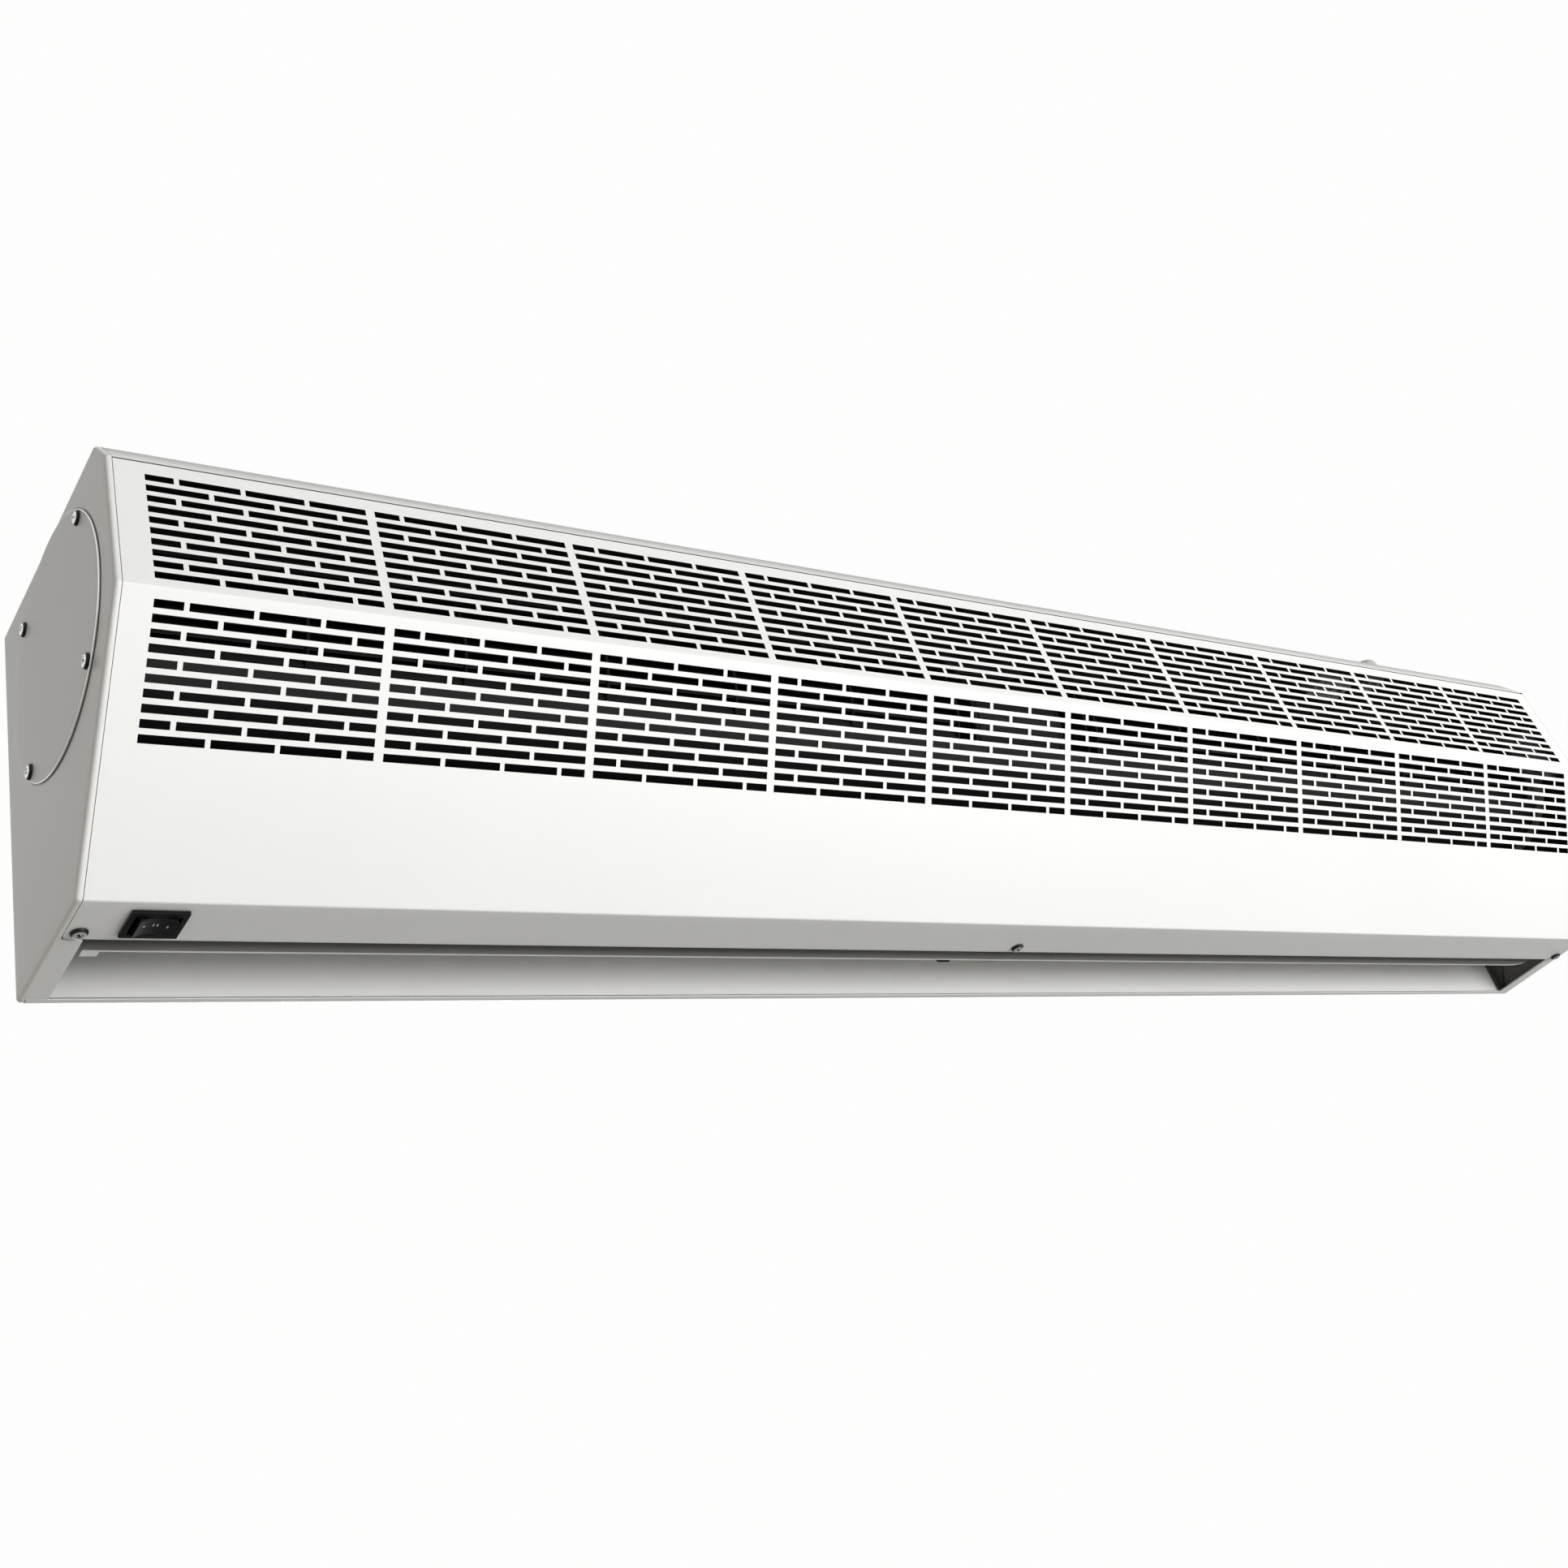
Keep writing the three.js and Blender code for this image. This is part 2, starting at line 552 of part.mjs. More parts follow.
/** Hub that clamps the left wheel's inner disc to the motor shaft. */
function impellerHub() {
  const end = -WHEEL_INNER_X - DISC_THICKNESS - GAP;
  return ringX(HUB_RADIUS, SHAFT_RADIUS + GAP, end - HUB_LENGTH, end, 16);
}

/** Left outer stub shaft with the collar that is riveted to the wheel's outer disc. */
function stubShaft() {
  const disc = -WHEEL_OUTER_X;
  const end = -HALF_LENGTH + END_SHEET + STUB_INSIDE / 2;
  return join(ringX(SHAFT_RADIUS, 0, end, disc + STUB_INSIDE, 12),
    ringX(HUB_RADIUS, 0, disc - GAP - DISC_THICKNESS, disc - GAP, 16));
}

/** Bent strap across the left opening that holds the bearing in its rubber ring. */
function bearingBridge() {
  const web = -BRIDGE_X;
  const foot = -HALF_LENGTH + END_SHEET + GAP;
  const y = AXIS.x;
  const z0 = AXIS.y - BRIDGE_HALF_WIDTH;
  const z1 = AXIS.y + BRIDGE_HALF_WIDTH;
  const span = BRIDGE_HALF_SPAN + BRACKET_SHEET;
  const strap = box(web, web + BRACKET_SHEET, y - span, y + span, z0, z1);
  const legs = [-1, 1].flatMap((side) => {
    const leg = [y + side * BRIDGE_HALF_SPAN, y + side * span].sort((a, b) => a - b);
    const toe = [y + side * BRIDGE_HALF_SPAN, y + side * (span + BRIDGE_TOE)].sort((a, b) => a - b);
    return [box(foot, web + BRACKET_SHEET / 2, ...leg, z0, z1),
      box(foot, foot + BRACKET_SHEET, ...toe, z0, z1)];
  });
  return cut(join(strap, ...legs), ringX(HOLDER_RADIUS + GAP, 0, web - BRACKET_SHEET,
    web + 2 * BRACKET_SHEET, 16));
}

function bearingHolder() {
  const middle = -BRIDGE_X + BRACKET_SHEET / 2;
  return ringX(HOLDER_RADIUS, BEARING_RADIUS + GAP, middle - HOLDER_LENGTH / 2,
    middle + HOLDER_LENGTH / 2, 16);
}

function bearing() {
  const middle = -BRIDGE_X + BRACKET_SHEET / 2;
  return ringX(BEARING_RADIUS, SHAFT_RADIUS + GAP, middle - BEARING_LENGTH / 2,
    middle + BEARING_LENGTH / 2, 16);
}

// ---------------------------------------------------------------- motor

function motorHousing() {
  return ringX(MOTOR_RADIUS, SHAFT_RADIUS + GAP, -MOTOR_HALF, MOTOR_HALF, 20);
}

/** Left end bell: a tapering shell end with the boss that sits in the rubber ring. */
function motorBell() {
  const bore = SHAFT_RADIUS + GAP;
  const profile = [[bore, 0], [MOTOR_RADIUS, 0], [MOTOR_RADIUS, BELL_LENGTH / 3],
    [BELL_END_RADIUS, BELL_LENGTH], [BOSS_RADIUS, BELL_LENGTH],
    [BOSS_RADIUS, BELL_LENGTH + BOSS_LENGTH], [bore, BELL_LENGTH + BOSS_LENGTH], [bore, 0]];
  return turned(profile, 20).rotateY(-Math.PI / 2)
    .translate(-MOTOR_HALF - GAP, AXIS.x, AXIS.y);
}

function motorRing() {
  const middle = -BRACKET_X - BRACKET_SHEET / 2;
  return ringX(RUBBER_RADIUS, BOSS_RADIUS + GAP, middle - RUBBER_LENGTH / 2,
    middle + RUBBER_LENGTH / 2, 16);
}

function motorShaft() {
  const end = WHEEL_INNER_X + DISC_THICKNESS + HUB_LENGTH;
  return ringX(SHAFT_RADIUS, 0, -end, end, 12);
}

// ---------------------------------------------------------------- outlet vane

const vaneAxis = at(-VANE_AXIS_DEPTH, VANE_AXIS_HEIGHT);

/** Long vane with pivot pins, a turned tab at its left end and a rounded right corner. */
function deflectorVane() {
  const end = DUCT_END - VANE_END_GAP;
  const front = vaneAxis.x - VANE_SHEET / 2;
  const rear = vaneAxis.x + VANE_SHEET / 2;
  const shape = new THREE.Shape();
  shape.moveTo(-end, VANE_TOP);
  shape.lineTo(-end, VANE_BOTTOM);
  shape.lineTo(end - 3 * VANE_CORNER, VANE_BOTTOM);
  shape.quadraticCurveTo(end, VANE_BOTTOM, end, VANE_BOTTOM + VANE_CORNER);
  shape.lineTo(end, VANE_TOP);
  const blade = new THREE.ExtrudeGeometry(shape,
    { depth: VANE_SHEET, bevelEnabled: false, curveSegments: 6 })
    .rotateX(Math.PI / 2).translate(0, rear, 0);
  const tab = box(-end, -end + VANE_TAB_WIDTH, front, rear + VANE_TAB_DEPTH,
    VANE_BOTTOM, VANE_BOTTOM + SHEET);
  const pinEnd = HALF_LENGTH - END_SHEET - SHEET;
  const pinRoot = end - VANE_PIN_ROOT;
  const pins = [[-pinEnd, -pinRoot], [pinRoot, pinEnd]].map(
    ([x0, x1]) => ringX(VANE_PIN_RADIUS, 0, x0, x1, 12, vaneAxis));
  return join(blade, tab, ...pins);
}

/** Left pivot block, fixed to the end plate. */
function vanePivot() {
  const half = PIVOT_BLOCK / 2;
  const block = box(-HALF_LENGTH + END_SHEET + GAP, -DUCT_END - DUCT_CLEARANCE,
    vaneAxis.x - half, vaneAxis.x + half, vaneAxis.y - half, vaneAxis.y + half);
  return cut(block, ringX(VANE_PIN_RADIUS + GAP, 0, -HALF_LENGTH, -DUCT_END, 12, vaneAxis));
}

// ---------------------------------------------------------------- switch

const switchCentre = at(SWITCH_X, -SWITCH_DEPTH);

/** Bezel under the flange, body through it and the well for the rocker. */
function switchBody() {
  const halfX = BEZEL_WIDTH / 2;
  const halfY = BEZEL_DEPTH / 2;
  const bezel = box(-halfX, halfX, -halfY, halfY, -GAP - BEZEL_THICKNESS, -GAP);
  const body = box(-halfX + BEZEL_RIM, halfX - BEZEL_RIM, -halfY + BEZEL_RIM,
    halfY - BEZEL_RIM, -GAP - BEZEL_THICKNESS / 2, SWITCH_BODY_HEIGHT);
  const well = box(-WELL_WIDTH / 2, WELL_WIDTH / 2, -WELL_DEPTH / 2, WELL_DEPTH / 2,
    -2 * BEZEL_THICKNESS, WELL_HEIGHT - BEZEL_THICKNESS);
  return cut(join(bezel, body), well).translate(switchCentre.x, switchCentre.y, 0);
}

/** Three-position rocker with a hollowed face between two proud ends. */
function switchRocker() {
  const proud = -GAP - BEZEL_THICKNESS - ROCKER_PROUD;
  const shape = new THREE.Shape();
  shape.moveTo(-ROCKER_HALF, ROCKER_PIVOT);
  shape.lineTo(-ROCKER_HALF, proud);
  shape.quadraticCurveTo(0, proud + 2 * ROCKER_PROUD, ROCKER_HALF, proud);
  shape.lineTo(ROCKER_HALF, ROCKER_PIVOT);
  shape.lineTo(0, ROCKER_PIVOT + ROCKER_CREST);
  const depth = WELL_DEPTH - 2 * GAP;
  return new THREE.ExtrudeGeometry(shape, { depth, bevelEnabled: false, curveSegments: 8 })
    .rotateX(Math.PI / 2).translate(switchCentre.x, switchCentre.y + depth / 2, 0);
}

// ---------------------------------------------------------------- fasteners, electrical pieces

/** Pan head screw, head down at z = 0 and shank up. */
function panScrew() {
  const dome = SCREW_DOME.map(([r, h]) => [r * SCREW_HEAD_RADIUS, -h * SCREW_HEAD_HEIGHT]);
  return turned([...dome, [SCREW_RADIUS, 0], [SCREW_RADIUS, SCREW_LENGTH],
    [0, SCREW_LENGTH]], 8);
}

function placeScrews() {
  coverScrewXs().forEach((x, i) => place(`cover_screw_${['left', 'middle', 'right'][i]}`,
    panScrew().translate(x, -COVER_SCREW_DEPTH, -GAP), SCREW_STEEL));
  const out = HALF_LENGTH + 2 * GAP + END_SHEET;
  ACCESS_SCREW_ANGLES.forEach((angle, i) => {
    const p = polar(ACCESS_SCREW_RADIUS, angle);
    place(`access_screw_left_${i + 1}`,
      panScrew().rotateY(Math.PI / 2).translate(-out, p.x, p.y), SCREW_STEEL);
    place(`access_screw_right_${i + 1}`,
      panScrew().rotateY(-Math.PI / 2).translate(out, p.x, p.y), SCREW_STEEL);
  });
}

const capacitorCentre = at(
  TONGUE_FACE - SHEET - GAP - CLIP_PAD - CAPACITOR_RADIUS, CAPACITOR_HEIGHT);

function capacitor() {
  return ringX(CAPACITOR_RADIUS, 0, CAPACITOR_X - CAPACITOR_LENGTH / 2,
    CAPACITOR_X + CAPACITOR_LENGTH / 2, 20, capacitorCentre);
}

/** Spring clip round the capacitor with a pad on the duct's front wall. */
function capacitorClip() {
  const ring = ringX(CAPACITOR_RADIUS + GAP + SHEET, CAPACITOR_RADIUS + GAP,
    CAPACITOR_X - CLIP_WIDTH / 2, CAPACITOR_X + CLIP_WIDTH / 2, 20, capacitorCentre);
  const pad = box(CAPACITOR_X - CLIP_WIDTH / 2, CAPACITOR_X + CLIP_WIDTH / 2,
    capacitorCentre.x + CAPACITOR_RADIUS + GAP + SHEET / 4, TONGUE_FACE - SHEET - GAP,
    CAPACITOR_HEIGHT - CLIP_WIDTH, CAPACITOR_HEIGHT + CLIP_WIDTH);
  return join(ring, pad);
}

/** Terminal strip under the top sheet: a body with a row of wire wells. */
function terminalBlock() {
  const top = CASE_HEIGHT - SHEET - GAP;
  const bottom = top - TERMINAL_HEIGHT;
  const y = -GLAND_DEPTH + TERMINAL_WIDTH / 2;
  const body = box(TERMINAL_X - TERMINAL_LENGTH / 2, TERMINAL_X + TERMINAL_LENGTH / 2,
    y - TERMINAL_WIDTH / 2, y + TERMINAL_WIDTH / 2, bottom, top);
  const wells = [-1, 0, 1].map((i) => TERMINAL_X + i * TERMINAL_PITCH).map((x) => box(
    x - TERMINAL_WELL, x + TERMINAL_WELL, y - TERMINAL_WELL, y + TERMINAL_WELL,
    bottom - SHEET, bottom + TERMINAL_HEIGHT / 2));
  return cut(body, ...wells);
}

/** Cable gland through the top sheet, with its cable bore open. */
function cableGland() {
  const b = GLAND_BORE_RADIUS;
  const t = GLAND_THREAD_RADIUS;
  const r = GLAND_RADIUS;
  const down = -SHEET - GAP - NUT_THICKNESS - GLAND_TAIL;
  const profile = [[b, down], [t, down], [t, GAP], [r, GAP], [r, GLAND_SHOULDER],
    [GLAND_CAP_RADIUS, GLAND_HEIGHT], [b, GLAND_HEIGHT], [b, down]];
  return turned(profile, 16).translate(GLAND_X, -GLAND_DEPTH, CASE_HEIGHT);
}

function glandNut() {
  const inner = GLAND_THREAD_RADIUS + GAP;
  const top = -SHEET - GAP;
  const hex = new THREE.CylinderGeometry(GLAND_RADIUS, GLAND_RADIUS, NUT_THICKNESS, 6)
    .rotateX(Math.PI / 2);
  const bore = new THREE.CylinderGeometry(inner, inner, 3 * NUT_THICKNESS, 20)
    .rotateX(Math.PI / 2);
  return cut(hex, bore).translate(GLAND_X, -GLAND_DEPTH, CASE_HEIGHT + top - NUT_THICKNESS / 2);
}

// ---------------------------------------------------------------- assembly

place('back_casing', backCasing(), WHITE_PAINT);
bothEnds('end_plate', endPlate, SHADE_PAINT);
bothEnds('access_cover', accessCover, SHADE_PAINT);
place('front_cover', frontCover(), WHITE_PAINT);
place('scroll_sheet', scrollSheet(), ZINC);
place('tongue_plate', tonguePlate(), ZINC);
bothEnds('motor_bracket', motorBracket, ZINC);
bothEnds('impeller', impeller, ALUMINIUM);
bothEnds('impeller_hub', impellerHub, ZINC);
bothEnds('stub_shaft', stubShaft, SCREW_STEEL);
bothEnds('bearing_bridge', bearingBridge, ZINC);
bothEnds('bearing_holder', bearingHolder, RUBBER);
bothEnds('bearing', bearing, SCREW_STEEL);
place('motor_housing', motorHousing(), MOTOR_PAINT);
bothEnds('motor_bell', motorBell, MOTOR_PAINT);
bothEnds('motor_ring', motorRing, RUBBER);
place('motor_shaft', motorShaft(), SCREW_STEEL);
place('deflector_vane', deflectorVane(), WHITE_PAINT);
bothEnds('vane_pivot', vanePivot, BLACK_PLASTIC);
place('switch_body', switchBody(), BLACK_PLASTIC);
place('switch_rocker', switchRocker(), BLACK_PLASTIC);
placeScrews();
place('capacitor', capacitor(), GREY_PLASTIC);
place('capacitor_clip', capacitorClip(), ZINC);
place('terminal_block', terminalBlock(), GREY_PLASTIC);
place('cable_gland', cableGland(), BLACK_PLASTIC);
place('gland_nut', glandNut(), BLACK_PLASTIC);

export default airCurtain;
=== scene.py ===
"""Looks of a wall-hung air curtain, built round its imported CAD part.

Sizes are millimetres, measured like the part's own: X along the length, Y into the wall and Z up
from the underside of the case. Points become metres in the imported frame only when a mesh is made.
"""
import json
import logging
import math
from dataclasses import dataclass
from enum import Enum
from typing import Any, Callable

import bmesh
import bpy
import numpy as np
from mathutils import Matrix, Vector


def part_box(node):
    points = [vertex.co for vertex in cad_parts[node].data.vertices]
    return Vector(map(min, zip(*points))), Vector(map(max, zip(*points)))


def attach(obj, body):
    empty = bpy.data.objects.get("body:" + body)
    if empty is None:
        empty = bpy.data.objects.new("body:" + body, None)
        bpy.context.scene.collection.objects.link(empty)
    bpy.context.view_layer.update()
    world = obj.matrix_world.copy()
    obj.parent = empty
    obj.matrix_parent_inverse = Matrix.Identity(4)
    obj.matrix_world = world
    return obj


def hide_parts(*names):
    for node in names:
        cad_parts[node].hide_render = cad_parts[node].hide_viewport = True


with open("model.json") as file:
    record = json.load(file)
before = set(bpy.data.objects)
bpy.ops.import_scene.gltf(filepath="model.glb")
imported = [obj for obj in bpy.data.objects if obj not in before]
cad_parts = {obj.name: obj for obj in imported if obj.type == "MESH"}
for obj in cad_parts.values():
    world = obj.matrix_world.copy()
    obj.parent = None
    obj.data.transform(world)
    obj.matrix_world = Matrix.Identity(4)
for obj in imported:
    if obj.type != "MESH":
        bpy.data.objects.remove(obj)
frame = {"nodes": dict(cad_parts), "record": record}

MM = 0.001
MERGE_DISTANCE = 2e-6
log = logging.getLogger("air_curtain")


class Layer(Enum):
    """Which side of a sheet a face belongs to, in the order of the piece's finishes."""

    OUTSIDE = 0
    INSIDE = 1
    EDGE = 2
    HIDDEN = 3


class Side(Enum):
    """The two ends of the case, with the sign of their X."""

    LEFT = -1
    RIGHT = 1

    @property
    def word(self) -> str:
        """The end's name as the part's nodes spell it."""
        return self.name.lower()


# ---------------------------------------------------------------- shader graphs


class Value:
    """A shader socket that takes part in arithmetic; each operator adds one Math node."""

    def __init__(self, graph: "Graph", socket: bpy.types.NodeSocket) -> None:
        """Wraps an output socket of a graph."""
        self.graph = graph
        self.socket = socket

    def math(self, operation: str, *others: Any) -> "Value":
        """The result of a Math node with this value first; the others are values or numbers."""
        return self.graph.math(operation, self, *others)

    def __add__(self, other: Any) -> "Value":
        """Sum."""
        return self.math("ADD", other)

    def __sub__(self, other: Any) -> "Value":
        """Difference."""
        return self.math("SUBTRACT", other)

    def __mul__(self, other: Any) -> "Value":
        """Product."""
        return self.math("MULTIPLY", other)

    def __rsub__(self, other: Any) -> "Value":
        """Reflected difference."""
        return self.graph.math("SUBTRACT", other, self)

    __radd__ = __add__
    __rmul__ = __mul__

    def __abs__(self) -> "Value":
        """Absolute value."""
        return self.math("ABSOLUTE")

    def spread(self, width: float) -> "Value":
        """A value between 0 and 1, centred on zero and scaled to the given width."""
        return (self - 0.5) * width

    def ramp(self, low: float, high: float) -> "Value":
        """Rises smoothly from 0 at low to 1 at high, or falls where high is the lower one."""
        node = self.graph.node("ShaderNodeMapRange", {"interpolation_type": "SMOOTHSTEP"},
                               {"Value": self, "From Min": low, "From Max": high})
        return Value(self.graph, node.outputs["Result"])


class Graph:
    """The node tree of one material or world."""

    def __init__(self, owner: Any) -> None:
        """Empties the owner's node tree.

        Args:
            owner: A material or world.
        """
        owner.use_nodes = True
        self.tree = owner.node_tree
        self.tree.nodes.clear()

    def give(self, entry: bpy.types.NodeSocket, given: Any) -> None:
        """Links a value or socket to an input, or sets the input's number or colour.

        Args:
            entry: The input socket.
            given: A value, socket, number or colour.
        """
        given = given.socket if isinstance(given, Value) else given
        if isinstance(given, bpy.types.NodeSocket):
            self.tree.links.new(given, entry)
        else:
            entry.default_value = given

    def node(self, kind: str, settings: dict[str, Any] | None = None,
             inputs: dict[Any, Any] | None = None) -> bpy.types.Node:
        """Adds any node.

        Args:
            kind: The node's type.
            settings: Attributes that are set first.
            inputs: What each input is given, by input name or index.

        Returns:
            The new node.
        """
        node = self.tree.nodes.new(kind)
        for key, setting in (settings or {}).items():
            setattr(node, key, setting)
        for key, given in (inputs or {}).items():
            self.give(node.inputs[key], given)
        return node

    def feed(self, shader: bpy.types.Node, **sockets: Any) -> None:
        """Links values or sockets to a shader by input name, with underscores for spaces."""
        for name, given in sockets.items():
            self.give(shader.inputs[name.replace("_", " ")], given)

    def math(self, operation: str, *operands: Any) -> Value:
        """The result of a Math node; its operands are values or numbers."""
        node = self.node("ShaderNodeMath", {"operation": operation}, dict(enumerate(operands)))
        return Value(self, node.outputs[0])

    def place(self) -> bpy.types.NodeSocket:
        """The point in the piece's own coordinates, in metres."""
        return self.node("ShaderNodeTexCoord").outputs["Object"]

    def axes(self) -> tuple[Value, Value, Value]:
        """The point's three coordinates in metres, Z from the middle of the case."""
        parts = self.node("ShaderNodeSeparateXYZ", inputs={"Vector": self.place()})
        return tuple(Value(self, parts.outputs[axis]) for axis in "XYZ")

    def attribute(self, name: str) -> Value:
        """The number stored under a name at the piece's vertices."""
        node = self.node("ShaderNodeAttribute", {"attribute_name": name})
        return Value(self, node.outputs["Fac"])

    def noise(self, per_metre: float, detail: float = 2.0,
              stretch: tuple[float, float, float] = (1.0, 1.0, 1.0)) -> Value:
        """Noise from 0 to 1 in the piece's own coordinates.

        Args:
            per_metre: Features per metre.
            detail: Octaves.
            stretch: Scale along each axis, for brushed or drawn surfaces.

        Returns:
            The noise.
        """
        mapped = self.node("ShaderNodeMapping", inputs={"Vector": self.place(), "Scale": stretch})
        node = self.node("ShaderNodeTexNoise", {"noise_dimensions": "3D"},
                         {"Vector": mapped.outputs[0], "Scale": per_metre, "Detail": detail})
        return Value(self, node.outputs["Fac"])

    def cells(self, per_metre: float) -> tuple[Value, Value]:
        """Crystal-like cells.

        Args:
            per_metre: Cells per metre.

        Returns:
            The distance inside a cell, and the cell's random tone.
        """
        node = self.node("ShaderNodeTexVoronoi", {"feature": "F1"},
                         {"Vector": self.place(), "Scale": per_metre})
        tone = self.node("ShaderNodeRGBToBW", inputs={"Color": node.outputs["Color"]})
        return Value(self, node.outputs["Distance"]), Value(self, tone.outputs[0])

    def mix(self, factor: Any, low: Any, high: Any) -> bpy.types.NodeSocket:
        """A mixed colour; the factor 0 gives low and 1 gives high."""
        return self.node("ShaderNodeMix", {"data_type": "RGBA"}, {0: factor, 6: low, 7: high}).outputs[2]

    def bump(self, height: Value, rise: float, strength: float) -> bpy.types.NodeSocket:
        """A normal bent by a height from 0 to 1; the rise is the metres that 1 stands for."""
        inputs = {"Height": height, "Distance": rise, "Strength": strength}
        return self.node("ShaderNodeBump", inputs=inputs).outputs["Normal"]


# ---------------------------------------------------------------- finishes

Colour = tuple[float, float, float]
PAINT: Colour = (0.86, 0.86, 0.845)
# Near-black painted shade that stands for the dark inside of the case.
INSIDE_SHADE: Colour = (0.012, 0.012, 0.013)


def shade(colour: Colour, share: float = 1.0) -> tuple[float, float, float, float]:
    """A linear colour times a factor, with its alpha, for a shader socket."""
    return (colour[0] * share, colour[1] * share, colour[2] * share, 1.0)


@dataclass(frozen=True)
class Finish:
    """A surface finish: a shader's fixed numbers, and a method that adds what varies."""

    name: str
    slot: str
    colour: Colour
    roughness: float
    metallic: float = 0.0
    specular: float = 0.5

    def material(self) -> bpy.types.Material:
        """The finish's material, made once.

        Returns:
            The material.
        """
        known = bpy.data.materials.get(self.name)
        if known:
            return known
        material = bpy.data.materials.new(self.name)
        graph = Graph(material)
        shader = graph.node("ShaderNodeBsdfPrincipled", inputs={
            "Base Color": self.tint(), "Roughness": self.roughness,
            "Metallic": self.metallic, "Specular IOR Level": self.specular})
        graph.node("ShaderNodeOutputMaterial", inputs={"Surface": shader.outputs[0]})
        self.dress(graph, shader)
        return material

    def tint(self, share: float = 1.0) -> tuple[float, float, float, float]:
        """The finish's colour times a factor, for a shader socket."""
        return shade(self.colour, share)

    def dress(self, graph: Graph, shader: bpy.types.Node) -> None:
        """Adds what varies over the surface to the material's graph and its shader."""


@dataclass(frozen=True)
class PowderCoat(Finish):
    """Baked powder paint: a fine orange peel, slight patches of gloss and a trace of dust."""

    peel: float = 650.0
    peel_rise: float = 2.5e-5
    patches: float = 9.0
    dust: float = 0.03
    gloss_spread: float = 0.10
    peel_spread: float = 0.05

    def dress(self, graph: Graph, shader: bpy.types.Node) -> None:
        """Adds the peel, the patches and the dust."""
        peel = graph.noise(self.peel)
        patch = graph.noise(self.patches, detail=3.0)
        paint = graph.mix(patch, self.tint(1.0 - self.dust), self.tint())
        colour, roughness = self.coat(graph, paint, patch, peel)
        graph.feed(shader, Base_Color=colour, Roughness=roughness + self.roughness,
                   Normal=graph.bump(peel, self.peel_rise, strength=0.35))

    def coat(self, graph: Graph, paint: bpy.types.NodeSocket, patch: Value,
             peel: Value) -> tuple[bpy.types.NodeSocket, Value]:
        """How the coat varies over the piece.

        Args:
            graph: The material's graph.
            paint: The dusty paint's colour.
            patch: The patches of gloss.
            peel: The orange peel.

        Returns:
            The colour, and what is added to the roughness.
        """
        return paint, patch.spread(self.gloss_spread) + peel.spread(self.peel_spread)


@dataclass(frozen=True)
class CasePaint(PowderCoat):
    """Powder paint on the case's bent back sheet, with painted shade on its inside and on its slanting top
    corner.
    """

    lining: Colour = INSIDE_SHADE
    skin: tuple[float, float] = (0.4, 0.7)
    corner_run: float = 8.0
    corner_share: float = 0.45

    def coat(self, graph: Graph, paint: bpy.types.NodeSocket, patch: Value,
             peel: Value) -> tuple[bpy.types.NodeSocket, Value]:
        """Gives what lies under the case's outside planes painted shade and darkens the slanting top corner
        as painted shade.
        """
        _, y, z = graph.axes()
        half = CASE.height * MM / 2
        slant = CASE.corner_normal()
        corner = (y + CASE.top_depth * MM) * slant[0] + (z - half) * slant[1]
        # Painted shade: points deeper than the skin under the outside planes take the near-black shade
        # colour.
        depth = (-1.0 * y).math("MINIMUM", half - z).math("MINIMUM", half + z)
        inside = depth.math("MINIMUM", -1.0 * corner).ramp(self.skin[0] * MM, self.skin[1] * MM)
        # Painted shade on the slanting top corner, which gets little light from above.
        corner_shade = (z.ramp(half - CASE.corner_drop * MM, half)
                   * y.ramp((self.corner_run - CASE.top_depth) * MM, -CASE.top_depth * MM))
        paint = graph.mix(corner_shade, paint, self.tint(self.corner_share))
        return graph.mix(inside, paint, shade(self.lining)), inside * 0.4 + patch.spread(self.gloss_spread)


@dataclass(frozen=True)
class EndPaint(PowderCoat):
    """Powder paint on an end plate, with a painted shadow line round the access cover."""

    seam: tuple[float, float] = (65.0, 67.1)
    seam_share: float = 0.25

    def coat(self, graph: Graph, paint: bpy.types.NodeSocket, patch: Value,
             peel: Value) -> tuple[bpy.types.NodeSocket, Value]:
        """Adds the painted shadow line, a ring round the wheels' axis."""
        _, y, z = graph.axes()
        across, up = y - CASE.axis[0] * MM, z - (CASE.axis[1] - CASE.height / 2) * MM
        radius = (across * across + up * up).math("SQRT")
        start, end = self.seam
        # Painted shadow: a dark ring just outside the access cover.
        seam = (radius.ramp((start - 0.2) * MM, start * MM)
                * radius.ramp((end + 0.15) * MM, (end - 0.15) * MM))
        return graph.mix(seam, paint, self.tint(self.seam_share)), patch.spread(self.gloss_spread)


@dataclass(frozen=True)
class VanePaint(PowderCoat):
    """Powder paint on the vane, with painted shade that makes its front face a darker grey than its edges.
    """

    # Painted shade colour for the vane's front face.
    front: Colour = (0.19, 0.188, 0.182)
    face: float = 46.6

    def coat(self, graph: Graph, paint: bpy.types.NodeSocket, patch: Value,
             peel: Value) -> tuple[bpy.types.NodeSocket, Value]:
        """Paints the points of the front face a darker grey, as painted shade."""
        grey = (-1.0 * graph.axes()[1]).ramp((self.face - 0.1) * MM, (self.face + 0.1) * MM)
        return graph.mix(grey, self.tint(), shade(self.front)), peel.spread(self.peel_spread)


@dataclass(frozen=True)
class Lining(Finish):
    """Near-black painted shade for the inside of the case, slightly mottled."""

    def dress(self, graph: Graph, shader: bpy.types.Node) -> None:
        """Adds the mottling and a sprayed texture."""
        spray = graph.noise(420.0, detail=3.0)
        graph.feed(shader, Base_Color=graph.mix(spray, self.tint(0.6), self.tint(1.4)),
                   Normal=graph.bump(spray, 1e-4, strength=0.4))


